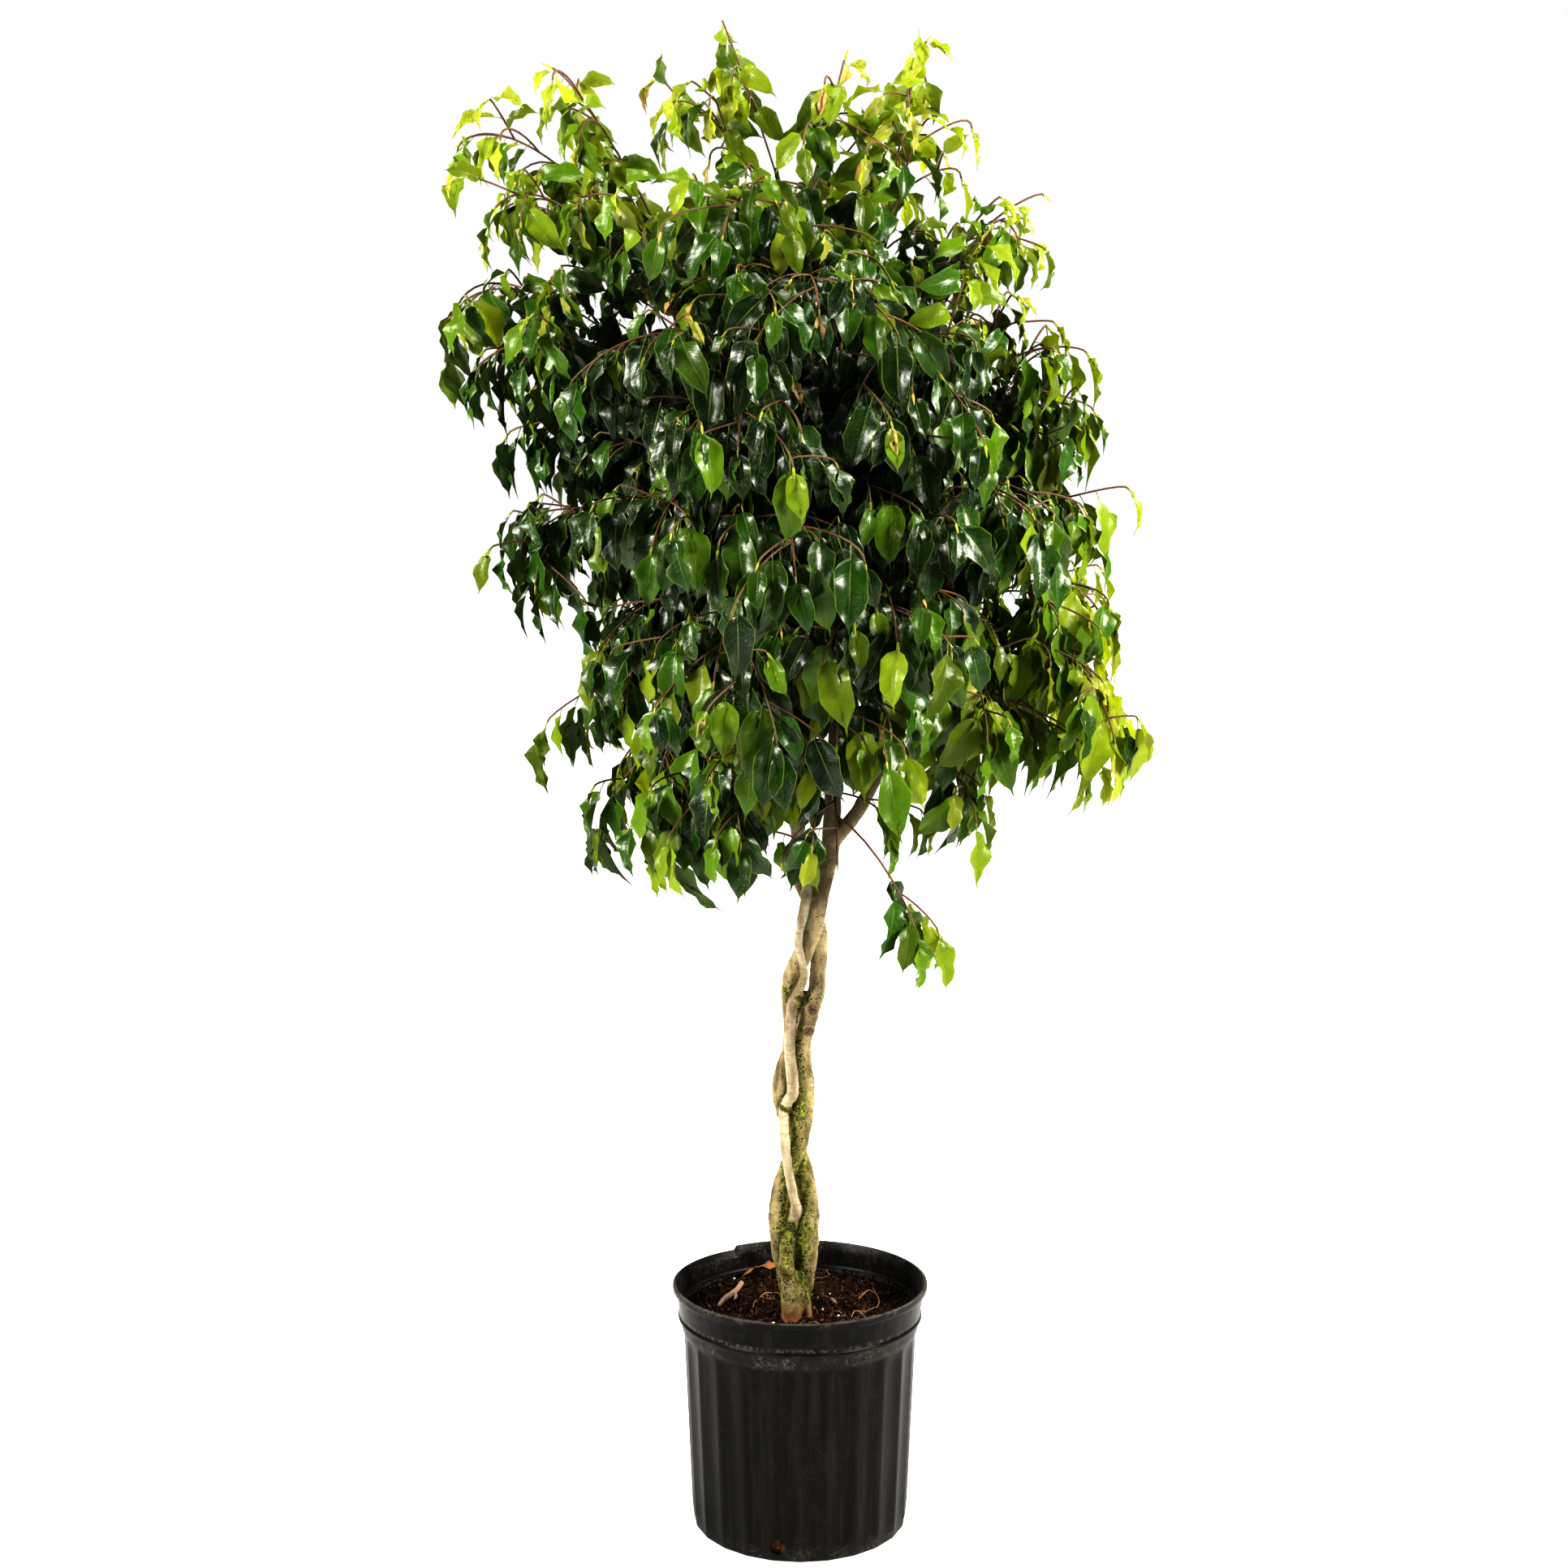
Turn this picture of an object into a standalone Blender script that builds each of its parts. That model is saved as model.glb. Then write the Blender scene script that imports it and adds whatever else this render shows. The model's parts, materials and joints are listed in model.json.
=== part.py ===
"""Weeping fig with a braided trunk, growing in its black nursery pot.

Three young plants share the pot. Their stems are plaited up to about 0.65 m. Above that they part
into leaders, and the leaders carry arching leafy branches whose leaves hang by their stalks and end
in drip tips.

Metres, +Z up. The origin is the middle of the pot's base, and -Y is the front.
"""

import math
import random

import bmesh
import bpy
from mathutils import Matrix, Vector
from mathutils.bvhtree import BVHTree
from mathutils.geometry import interpolate_bezier, intersect_point_line

MM = 0.001
UP = Vector((0.0, 0.0, 1.0))
SEAT_GAP = 0.3 * MM

# Pot: a nursery can with a rolled lip, a plain collar over a bead, and a fluted wall
POT_HEIGHT = 254 * MM
LIP_RADIUS = 130 * MM
BASE_RADIUS = 104 * MM
WALL = 1.8 * MM
FLOOR = 2.5 * MM
FLUTES = 24
FLUTE_DEPTH = 2.4 * MM
FLUTE_TOP = 203 * MM
FLUTE_FOOT = 20 * MM
FLUTE_TOP_RADIUS = 118.6 * MM
FLUTE_FOOT_RADIUS = 110.8 * MM
DRAIN_HOLES = 4
DRAIN_RADIUS = 8 * MM
DRAIN_HEIGHT = 15 * MM
DRAIN_TURN = math.radians(-102)

# Soil: a plug that fills the pot to a little under the lip
SOIL_TOP = 222 * MM
SOIL_SIDES = 24
SOIL_CLEARANCE = 1.8 * MM

# Stems, as (x, y, z, radius) in millimetres, from the foot in the soil to the top
STEM_RIGHT = [
    (2, -6, 168, 8), (2, -7, 200, 8), (2, -9, 235, 8.5), (6, -13, 262, 9.2), (9, -16, 290, 9.5),
    (10, -17, 315, 9.5), (10, -16, 335, 9.5), (7, -11, 355, 9.4), (2, -3, 375, 9.3), (-4, 4, 395, 9.3),
    (-10, 5, 415, 9.3), (-16, 2, 435, 9.2), (-19, -4, 455, 9.2), (-16, -5, 475, 9.2), (-9, 2, 495, 9),
    (-8, 4, 515, 9), (-9, 1, 535, 9), (-10, -4, 555, 9.2), (-7, -8, 575, 9.4), (2, -12, 595, 9.6),
    (10, -16, 615, 9.8), (15, -17, 635, 9.8), (19, -14, 656, 9.6), (25, -8, 680, 9.5), (30, -2, 703, 9),
    (33, 12, 770, 8), (37, 20, 843, 7), (43, 24, 931, 6.2), (49, 24, 1027, 5.2), (58, 20, 1137, 4.3),
    (69, 18, 1230, 3.4), (81, 15, 1299, 2.6),
]
STEM_LEFT = [
    (-10, 0, 168, 8.3), (-10, -2, 200, 8.3), (-11, -5, 235, 8.5), (-15, -9, 262, 8.8),
    (-20, -13, 290, 8.8), (-23, -15, 315, 8.8), (-23, -15, 335, 8.8), (-19, -14, 355, 9),
    (-12, -13, 375, 9.2), (-3, -13, 395, 9.4), (1, -14, 415, 9.6), (4, -14, 435, 9.9),
    (5, -14, 455, 10.1), (3, -14, 475, 9.9), (1, -14, 495, 9.5), (4, -14, 515, 9), (10, -12, 535, 8.6),
    (16, -8, 555, 8.4), (18, -3, 575, 8.2), (19, 1, 595, 8.2), (19, 3, 615, 8), (14, 5, 635, 7.5),
    (5, 5, 656, 7.2), (-2, 2, 680, 7), (-1, -6, 754, 6.6), (8, -16, 851, 5.8), (3, -18, 931, 5.2),
    (-12, -12, 1000, 4.6), (-21, -6, 1090, 4), (-18, 0, 1214, 3.2), (-17, 0, 1314, 2.6), (-24, 0, 1362, 2.4),
]
STEM_FRONT = [
    (-9, -25, 168, 9.6), (-9, -26, 200, 10), (-9, -27, 225, 10.2), (-10, -28, 242, 9.8),
    (-11, -28, 262, 8.8), (-14, -27, 284, 7.4), (-14, -26, 302, 6.3), (-11, -22, 315, 5.8),
    (-5, -21, 327, 5.4), (-4, -26, 340, 5.3), (-8, -28, 358, 5.3), (-12, -28, 380, 5.3),
    (-15, -27, 402, 5.4), (-16, -25, 420, 5.4), (-17, -20, 434, 5.4), (-13, -19, 445, 5.8),
    (-8, -25, 456, 6.3), (-8, -29, 474, 6.6), (-10, -28, 495, 6.3), (-11, -26, 516, 6),
    (-9, -24, 538, 5.9), (-6, -20, 552, 5.5), (0, -18, 563, 5), (4, -22, 576, 4.6), (1, -27, 594, 4.3),
    (-2, -29, 610, 4.3), (0, -28, 627, 4.6), (4, -25, 647, 5.2), (6, -20, 668, 5.4), (2, -18, 692, 5.5),
    (-6, -28, 730, 5.2), (-18, -48, 790, 4.8), (-30, -68, 860, 4.4), (-36, -80, 940, 3.8),
    (-36, -84, 1020, 3.2), (-34, -80, 1092, 2.6),
]
LIMB_RIGHT = [
    (31, -2, 706, 7.2), (61, -10, 747, 6.6), (95, -20, 819, 5.8), (123, -20, 899, 4.8),
    (142, -10, 979, 3.8), (157, 0, 1060, 2.8),
]
LIMB_BACK = [
    (33, 14, 778, 5.4), (32, 50, 840, 4.8), (22, 85, 940, 4.2), (12, 100, 1050, 3.4), (8, 105, 1152, 2.6),
]
LIMB_LEFT = [
    (-1, -4, 735, 5.8), (-29, 30, 819, 5.3), (-57, 45, 915, 4.6), (-84, 45, 1027, 3.9),
    (-108, 35, 1137, 3.3), (-123, 30, 1230, 2.8), (-129, 20, 1293, 2.4),
]
LEADERS = {
    "inner": STEM_RIGHT, "centre": STEM_LEFT, "front": STEM_FRONT,
    "right": LIMB_RIGHT, "back": LIMB_BACK, "left": LIMB_LEFT,
}
STEMS = {
    "stem_front": (STEM_FRONT, [], ["front"]),
    "stem_right": (STEM_RIGHT, [LIMB_RIGHT, LIMB_BACK], ["inner", "right", "back"]),
    "stem_left": (STEM_LEFT, [LIMB_LEFT], ["centre", "left"]),
}
BRAID_TOP = 700 * MM

# Leafy branches: leader, height of the foot, outermost leaf tip (x, y, z), rise of the arch; millimetres
BRANCHES = [
    ("centre", 1352, (-126, 0, 1484), 8),
    ("centre", 1240, (82, -48, 1432), 0),
    ("inner", 1288, (165, 0, 1455), 30),
    ("inner", 1215, (148, -88, 1376), 40),
    ("left", 1282, (-285, 20, 1432), 25),
    ("left", 1235, (-370, -20, 1358), 65),
    ("left", 1185, (-318, -130, 1290), 70),
    ("left", 1120, (-378, 0, 1205), 70),
    ("left", 1070, (-290, -150, 1150), 75),
    ("left", 1010, (-290, 90, 1070), 75),
    ("left", 955, (-300, -45, 970), 80),
    ("left", 890, (-226, -15, 838), 90),
    ("left", 845, (-176, -85, 742), 75),
    ("front", 805, (-132, -130, 722), 60),
    ("front", 770, (-46, -185, 775), 40),
    ("inner", 1175, (256, 0, 1290), 35),
    ("right", 1050, (244, 52, 1220), 50),
    ("right", 1015, (284, -52, 1162), 65),
    ("right", 975, (312, 36, 1102), 70),
    ("right", 930, (314, -58, 1005), 75),
    ("right", 885, (345, 5, 902), 75),
    ("right", 845, (336, -70, 836), 75),
    ("right", 800, (256, -130, 800), 70),
    ("right", 765, (222, -56, 740), 30),
    ("inner", 745, (36, -150, 676), 50),
    ("centre", 1215, (-80, -268, 1255), 80),
    ("centre", 1130, (20, -305, 1190), 85),
    ("front", 1080, (-165, -268, 1150), 75),
    ("front", 1050, (-60, -338, 1072), 85),
    ("inner", 1100, (104, -285, 1118), 85),
    ("front", 995, (-155, -290, 985), 80),
    ("front", 955, (0, -345, 962), 85),
    ("right", 955, (190, -250, 1008), 80),
    ("front", 900, (-90, -290, 866), 75),
    ("inner", 905, (90, -320, 903), 85),
    ("inner", 835, (30, -270, 806), 75),
    ("centre", 1240, (0, 255, 1275), 80),
    ("back", 1142, (-42, 300, 1176), 75),
    ("left", 1095, (-192, 232, 1130), 80),
    ("back", 1035, (10, 330, 1026), 85),
    ("right", 1000, (208, 232, 1058), 75),
    ("left", 970, (-172, 260, 956), 80),
    ("back", 965, (114, 310, 914), 80),
    ("back", 890, (-20, 285, 815), 75),
    ("right", 870, (214, 180, 836), 70),
    ("left", 860, (-122, 185, 768), 60),
    ("centre", 1300, (-165, -40, 1392), 40),
    ("left", 1200, (-205, 90, 1275), 60),
]

# How every leafy branch grows
BRANCH_SEED = 400
STUB_LENGTH = 34 * MM
STUB_RADIUS = 2.3
TIP_RADIUS = 0.95
TWIG_RADIUS = 0.95
TWIG_TIP_RADIUS = 0.85
FIRST_TWIG = 16 * MM
LAST_TWIG = 30 * MM
TWIG_STEP = 25 * MM
TWIG_LENGTH = 105 * MM
LEAF_STEP = 17 * MM
LEAF_OVERHANG = 46 * MM
LEAF_DROP = 26 * MM
BLADE_SHORTEST = 50 * MM
BLADE_LONGEST = 72 * MM
END_BLADE = 0.8

# The leaf, in shares of its blade's length
PETIOLE = 0.19
HALF_WIDTH = 0.225
DRIP_START = 0.88
DRIP_TIP = 0.9
DRIP_WIDTH = 0.09
LEAF_BENDS = (10, 30, 52, 76)
LEAF_WAVES = ((0.030, 0.0), (0.044, 0.3), (0.036, 0.62), (0.050, 0.85))

# The leaf's solid
BLADE_THICKNESS = 1.0 * MM
ROOT_DEPTH = 0.15 * MM
ROOT_HALF = 0.45 * MM
BLADE_STATIONS = (0.13, 0.48, 0.82)
LEAF_CLEARANCE = 1.0 * MM
TWIGS_PER_BRANCH = 1
LEAF_TOTAL = 196
LEAVES_AT_LEAST = 3
LEAVES_AT_MOST = 7

# Bits that lie on the soil
FALLEN_LEAF_PLACE = (-14 * MM, 93 * MM)
FALLEN_LEAF_TURN = math.radians(96)
FALLEN_LEAF_LENGTH = 46 * MM
FALLEN_TWIG = [(-83, 5, 1.8), (-78, 19, 2.8), (-71, 35, 3), (-66, 47, 2.8), (-63, 60, 2.6), (-61, 69, 3)]
FALLEN_TWIG_FORK = [(-68, 42, 2.2), (-66, 33, 1.9), (-67, 25, 1.3)]


def clear_scene():
    """Start from an empty scene."""
    for item in list(bpy.data.objects):
        bpy.data.objects.remove(item, do_unlink=True)


def new_collection(name):
    """A collection linked to the scene."""
    collection = bpy.data.collections.new(name)
    bpy.context.scene.collection.children.link(collection)
    return collection


def paint(item, colour, roughness):
    """Give an object its own plain material."""
    material = bpy.data.materials.new(item.name)
    material.use_nodes = True
    shader = material.node_tree.nodes["Principled BSDF"]
    shader.inputs["Base Color"].default_value = (*colour, 1.0)
    shader.inputs["Roughness"].default_value = roughness
    shader.inputs["Metallic"].default_value = 0.0
    item.data.materials.clear()
    item.data.materials.append(material)


def finished_mesh(item, name):
    """The object's evaluated mesh with its caps welded."""
    bpy.context.view_layer.update()
    evaluated = item.evaluated_get(bpy.context.evaluated_depsgraph_get())
    mesh = bpy.data.meshes.new_from_object(evaluated)
    mesh.name = name
    shape = bmesh.new()
    shape.from_mesh(mesh)
    bmesh.ops.remove_doubles(shape, verts=shape.verts, dist=1e-6)
    shape.to_mesh(mesh)
    shape.free()
    return mesh


def make_plain(item, collection):
    """Replace an object by a plain mesh object of its evaluated shape."""
    name = item.name
    mesh = finished_mesh(item, name)
    place = item.matrix_world.copy()
    bpy.data.objects.remove(item, do_unlink=True)
    plain = bpy.data.objects.new(name, mesh)
    plain.matrix_world = place
    collection.objects.link(plain)
    return plain


def tube(name, stations, sides, collection):
    """A round tube through (point, radius in millimetres) stations, its ends capped."""
    curve = bpy.data.curves.new(name, "CURVE")
    curve.dimensions = "3D"
    curve.bevel_depth = MM
    curve.bevel_resolution = (sides - 4) // 2
    curve.use_fill_caps = True
    spline = curve.splines.new("POLY")
    spline.points.add(len(stations) - 1)
    for spline_point, (point, radius) in zip(spline.points, stations):
        spline_point.co = (*point, 1.0)
        spline_point.radius = radius
    item = bpy.data.objects.new(name, curve)
    collection.objects.link(item)
    return make_plain(item, collection)


def stations_of(rows, grow=0.0):
    """Tube stations from (x, y, z, radius) rows in millimetres, each radius grown by a margin."""
    return [(Vector(row[:3]) * MM, row[3] + grow / MM) for row in rows]


def boolean(item, cutters, operation, solver="EXACT"):
    """Add one Boolean modifier that works with every object of a collection."""
    modifier = item.modifiers.new(operation.title(), "BOOLEAN")
    modifier.operation = operation
    modifier.operand_type = "COLLECTION"
    modifier.collection = cutters
    modifier.solver = solver


def drop_collection(collection):
    """Remove a collection with its objects."""
    for item in list(collection.objects):
        bpy.data.objects.remove(item, do_unlink=True)
    bpy.data.collections.remove(collection)


def combine(item, others, operation, collection, solver="EXACT"):
    """Apply one union or difference of an object with a collection, which is then removed."""
    boolean(item, others, operation, solver)
    whole = make_plain(item, collection)
    drop_collection(others)
    return whole


def search_tree(item):
    """A tree that answers whether another mesh crosses this object."""
    mesh = item.data
    return BVHTree.FromPolygons([item.matrix_world @ vertex.co for vertex in mesh.vertices],
                                [tuple(face.vertices) for face in mesh.polygons])


def turned_shape(name, profile, sides, collection):
    """A closed turned solid from (radius, height) points that run down its outer side."""
    mesh = bpy.data.meshes.new(name)
    points = [(radius, 0.0, height) for radius, height in profile]
    mesh.from_pydata(points, [(i, i + 1) for i in range(len(points) - 1)], [])
    item = bpy.data.objects.new(name, mesh)
    collection.objects.link(item)
    screw = item.modifiers.new("Screw", "SCREW")
    screw.steps = sides
    screw.render_steps = sides
    screw.use_merge_vertices = True
    screw.merge_threshold = 0.01 * MM
    return make_plain(item, collection)


def pot_profile():
    """The can's section, down the outside and up the inside."""
    outside = [
        (LIP_RADIUS - 2.5 * MM, POT_HEIGHT), (LIP_RADIUS, POT_HEIGHT - 2.5 * MM),
        (LIP_RADIUS - 0.6 * MM, POT_HEIGHT - 7 * MM),
        (LIP_RADIUS - 4 * MM, POT_HEIGHT - 8 * MM), (LIP_RADIUS - 7 * MM, 222 * MM),
        (LIP_RADIUS - 5.6 * MM, 219 * MM), (LIP_RADIUS - 8.6 * MM, 216.5 * MM),
        (FLUTE_TOP_RADIUS + 1.8 * MM, 207 * MM), (FLUTE_TOP_RADIUS, FLUTE_TOP),
        (FLUTE_FOOT_RADIUS, FLUTE_FOOT), (BASE_RADIUS + 5.4 * MM, 8 * MM), (BASE_RADIUS, 0.0), (0.0, 0.0),
    ]
    inside = [
        (0.0, FLOOR), (BASE_RADIUS - 1.5 * MM, FLOOR), (BASE_RADIUS + 5.4 * MM - WALL, 9 * MM),
        (FLUTE_FOOT_RADIUS - WALL, FLUTE_FOOT), (FLUTE_TOP_RADIUS - WALL, FLUTE_TOP),
        (FLUTE_TOP_RADIUS + 1.8 * MM - WALL, 207 * MM), (LIP_RADIUS - 7 * MM - WALL, 222 * MM),
        (LIP_RADIUS - 4 * MM - WALL, POT_HEIGHT - 3 * MM), (LIP_RADIUS - 2.5 * MM, POT_HEIGHT),
    ]
    return outside + inside


def press_flutes(mesh):
    """Press every second column of the fluted rows inward."""
    step = math.tau / (2 * FLUTES)
    for vertex in mesh.vertices:
        if not FLUTE_FOOT - 0.1 * MM < vertex.co.z < FLUTE_TOP + 0.1 * MM:
            continue
        column = round(math.atan2(vertex.co.y, vertex.co.x) / step)
        if column % 2:
            radius = vertex.co.xy.length
            vertex.co.xy *= (radius - FLUTE_DEPTH) / radius


def build_pot(parts, cutters):
    """The nursery can, with drain holes through the foot of its wall."""
    pot = turned_shape("pot", pot_profile(), 2 * FLUTES, parts)
    press_flutes(pot.data)
    holes = bpy.data.collections.new("drain_holes")
    cutters.children.link(holes)
    for number in range(DRAIN_HOLES):
        angle = DRAIN_TURN + number * math.tau / DRAIN_HOLES
        bpy.ops.mesh.primitive_cylinder_add(vertices=12, radius=DRAIN_RADIUS, depth=24 * MM)
        hole = bpy.context.active_object
        hole.name = f"drain_hole_{number + 1}"
        hole.rotation_euler = (0.0, math.pi / 2, angle)
        hole.location = (FLUTE_FOOT_RADIUS * math.cos(angle), FLUTE_FOOT_RADIUS * math.sin(angle), DRAIN_HEIGHT)
        for owner in list(hole.users_collection):
            owner.objects.unlink(hole)
        holes.objects.link(hole)
        hide_guide(hole)
    boolean(pot, holes, "DIFFERENCE")
    paint(pot, (0.012, 0.012, 0.013), 0.5)
    return pot


def hide_guide(item):
    """Mark an object as a cutter."""
    item.hide_render = True
    item.display_type = "WIRE"


def build_soil(parts, cutters):
    """The root ball and soil, with a plain hole round each stem."""
    profile = [
        (0.0, SOIL_TOP), (LIP_RADIUS - 7 * MM - WALL - SOIL_CLEARANCE, SOIL_TOP),
        (FLUTE_TOP_RADIUS + 1.8 * MM - WALL - SOIL_CLEARANCE, 206.5 * MM),
        (FLUTE_TOP_RADIUS - WALL - SOIL_CLEARANCE, FLUTE_TOP - 1 * MM),
        (FLUTE_FOOT_RADIUS - WALL - SOIL_CLEARANCE, FLUTE_FOOT),
        (BASE_RADIUS + 5.4 * MM - WALL - SOIL_CLEARANCE, 9.5 * MM),
        (BASE_RADIUS - 2 * MM - SOIL_CLEARANCE, FLOOR + SEAT_GAP), (0.0, FLOOR + SEAT_GAP),
    ]
    soil = turned_shape("soil", profile, SOIL_SIDES, parts)
    holes = bpy.data.collections.new("stem_holes")
    cutters.children.link(holes)
    for name, (rows, _, _) in STEMS.items():
        buried = [row for row in rows if row[2] * MM < SOIL_TOP + 30 * MM]
        stations = stations_of(buried, SEAT_GAP)
        foot, radius = stations[0]
        stations[0] = (foot - UP * SEAT_GAP, radius)
        hide_guide(tube(f"{name}_hole", stations, 8, holes))
    boolean(soil, holes, "DIFFERENCE")
    paint(soil, (0.045, 0.024, 0.014), 0.95)
    return soil


def leader_station(leader, height):
    """Point and radius of a leader at a height."""
    rows = LEADERS[leader]
    for low, high in zip(rows, rows[1:]):
        if low[2] <= height <= high[2]:
            share = (height - low[2]) / (high[2] - low[2])
            point = Vector(low[:3]).lerp(Vector(high[:3]), share) * MM
            return point, low[3] + (high[3] - low[3]) * share
    return Vector(rows[-1][:3]) * MM, rows[-1][3]


class Route:
    """A path through points, read by the distance along it."""

    def __init__(self, points):
        self.points = points
        self.marks = [0.0]
        for first, second in zip(points, points[1:]):
            self.marks.append(self.marks[-1] + (second - first).length)
        self.length = self.marks[-1]

    def at(self, distance):
        """Point and direction at a distance from the start."""
        number = 1
        while number < len(self.marks) - 1 and distance > self.marks[number]:
            number += 1
        first, second = self.points[number - 1], self.points[number]
        share = (distance - self.marks[number - 1]) / (self.marks[number] - self.marks[number - 1])
        return first.lerp(second, share), (second - first).normalized()


def branch_axis(number):
    """Route of a branch, from its leader up and out in an arch to its drooping tip."""
    leader, height, reach, rise = BRANCHES[number]
    start, _ = leader_station(leader, height)
    reach = Vector(reach) * MM
    level = Vector((reach.x - start.x, reach.y - start.y, 0.0)).normalized()
    tip = reach - level * LEAF_OVERHANG + UP * LEAF_DROP
    lift = UP * rise * MM
    return Route(interpolate_bezier(start, start.lerp(tip, 0.35) + lift, start.lerp(tip, 0.8) + lift, tip, 25))


def grow_twig(point, ahead, side, length, draw):
    """Route of a side twig that leaves its branch sideways and droops."""
    across = ahead.cross(UP).normalized() * side
    out = (ahead * 0.6 + across * draw.uniform(0.55, 0.95) + UP * draw.uniform(-0.05, 0.25)).normalized()
    tip = point + out * length * 0.85 - UP * length * draw.uniform(0.25, 0.65)
    return Route(interpolate_bezier(point, point + out * length * 0.4, tip + UP * length * 0.2, tip, 9))


def place_leaf(point, along, blade, draw):
    """Place, blade length and variant of a leaf that leaves its shoot along a direction."""
    along = along.normalized()
    outward = Vector((point.x, point.y, 0.0)).normalized()
    face = UP * 0.7 + outward + Vector([draw.uniform(-0.55, 0.55) for _ in range(3)])
    face = (face - along * face.dot(along)).normalized()
    turn = Matrix((along.cross(face), along, face)).transposed()
    level = math.hypot(along.x, along.y)
    bend = min(int(level * len(LEAF_BENDS)), len(LEAF_BENDS) - 1)
    variant = bend * len(LEAF_WAVES) + draw.randrange(len(LEAF_WAVES))
    return Matrix.Translation(point) @ turn.to_4x4(), blade, variant


def side_direction(ahead, side, draw):
    """Direction of a leaf that leaves the side of its shoot and hangs."""
    across = ahead.cross(UP).normalized() * side
    return ahead * draw.uniform(0.3, 0.7) + across * draw.uniform(0.4, 0.8) - UP * draw.uniform(0.25, 1.15)


def end_direction(ahead, side, draw):
    """Direction of the leaf that carries its shoot on outward."""
    across = ahead.cross(UP).normalized() * side
    level = Vector((ahead.x, ahead.y, min(ahead.z, 0.0)))
    return level + across * draw.uniform(0.0, 0.35) - UP * draw.uniform(0.0, 0.45)


def dress_shoot(route, first, draw):
    """The leaves of one shoot: one at each joint, in turn to each side, and one at the end."""
    leaves = []
    side = draw.choice((-1, 1))
    distance = first
    while distance < route.length - LEAF_STEP * 0.5:
        point, ahead = route.at(distance)
        blade = draw.uniform(BLADE_SHORTEST, BLADE_LONGEST)
        leaves.append(place_leaf(point, side_direction(ahead, side, draw), blade, draw))
        side = -side
        distance += LEAF_STEP * draw.uniform(0.8, 1.25)
    point, ahead = route.at(route.length - 3 * MM)
    blade = END_BLADE * draw.uniform(BLADE_SHORTEST, BLADE_LONGEST)
    leaves.append(place_leaf(point, end_direction(ahead, side, draw), blade, draw))
    return leaves


def grow_branch(number):
    """A branch's shoots, each a route with its leaves: the axis first, then the side twigs."""
    draw = random.Random(BRANCH_SEED + number)
    axis = branch_axis(number)
    shoots = [(axis, dress_shoot(axis, STUB_LENGTH + 0.35 * (axis.length - STUB_LENGTH), draw))]
    side = draw.choice((-1, 1))
    distance = STUB_LENGTH + FIRST_TWIG
    while distance < axis.length - LAST_TWIG:
        point, ahead = axis.at(distance)
        share = (distance - STUB_LENGTH) / (axis.length - STUB_LENGTH)
        length = TWIG_LENGTH * (0.6 + 0.4 * math.sin(math.pi * share)) * draw.uniform(0.75, 1.2)
        twig = grow_twig(point, ahead, side, length, draw)
        shoots.append((twig, dress_shoot(twig, LEAF_STEP * 0.9, draw)))
        side = -side
        distance += TWIG_STEP * draw.uniform(0.8, 1.2)
    return shoots


def half_width(share):
    """Half the blade's width at a share of its length."""
    drip = DRIP_WIDTH * (1.0 - share) / (1.0 - DRIP_START)
    if share >= DRIP_TIP:
        return HALF_WIDTH * drip
    body = math.sin(math.pi * (share / DRIP_TIP) ** 0.72) ** 0.8
    return HALF_WIDTH * max(body, min(drip, DRIP_WIDTH))


def blade_frame(variant, share):
    """Midrib point and upward normal of a leaf of unit blade length."""
    bend = math.radians(LEAF_BENDS[variant // len(LEAF_WAVES)])
    turn = bend * share
    middle = Vector((0.0, PETIOLE + math.sin(turn) / bend, -(1.0 - math.cos(turn)) / bend))
    return middle, Vector((0.0, math.sin(turn), math.cos(turn)))


def blade_point(variant, share, across):
    """A point of the waved, folded blade; across runs from -1 at the left margin to 1 at the right."""
    height, phase = LEAF_WAVES[variant % len(LEAF_WAVES)]
    middle, normal = blade_frame(variant, share)
    half = half_width(share)
    wave = height * math.sin(math.tau * (1.7 * share + phase + 0.23 * across)) * abs(across) ** 1.5
    lift = abs(across) * half * 0.3 + wave * min(1.0, 1.6 * half / HALF_WIDTH)
    hook = (share - 0.6) ** 2 * 0.25 * math.cos(math.tau * phase) if share > 0.6 else 0.0
    return middle + Vector((across * half + hook, 0.0, 0.0)) + normal * lift


def leaf_rings(variant, blade, margin):
    """Four-cornered rings along a leaf: left margin, upper midrib, right margin, lower midrib."""
    rings = []
    for share in BLADE_STATIONS:
        _, normal = blade_frame(variant, share)
        left = blade_point(variant, share, -1.0) * blade - Vector((margin, 0.0, 0.0))
        right = blade_point(variant, share, 1.0) * blade + Vector((margin, 0.0, 0.0))
        spine = blade_point(variant, share, 0.0) * blade
        rise = normal * (BLADE_THICKNESS / 2 + margin)
        rings.append([left, spine + rise, right, spine - rise])
    return rings


def leaf_faces(count):
    """Triangles of a leaf, from its root edge to its tip, split alike on the upper and lower face."""
    upper, lower, tip = 4 * count, 4 * count + 1, 4 * count + 2
    faces = [(upper, 0, 1), (upper, 1, 2), (lower, 3, 0), (lower, 2, 3), (upper, lower, 0), (upper, 2, lower)]
    for ring in range(count - 1):
        left, top, right, under = range(4 * ring, 4 * ring + 4)
        left_on, top_on, right_on, under_on = range(4 * ring + 4, 4 * ring + 8)
        faces += [(left, top_on, top), (left, left_on, top_on), (right, top, top_on), (right, top_on, right_on)]
        faces += [(left, under, under_on), (left, under_on, left_on)]
        faces += [(right, under_on, under), (right, right_on, under_on)]
    left, top, right, under = range(4 * count - 4, 4 * count)
    faces += [(left, tip, top), (top, tip, right), (right, tip, under), (under, tip, left)]
    return [face[::-1] for face in faces]


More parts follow.
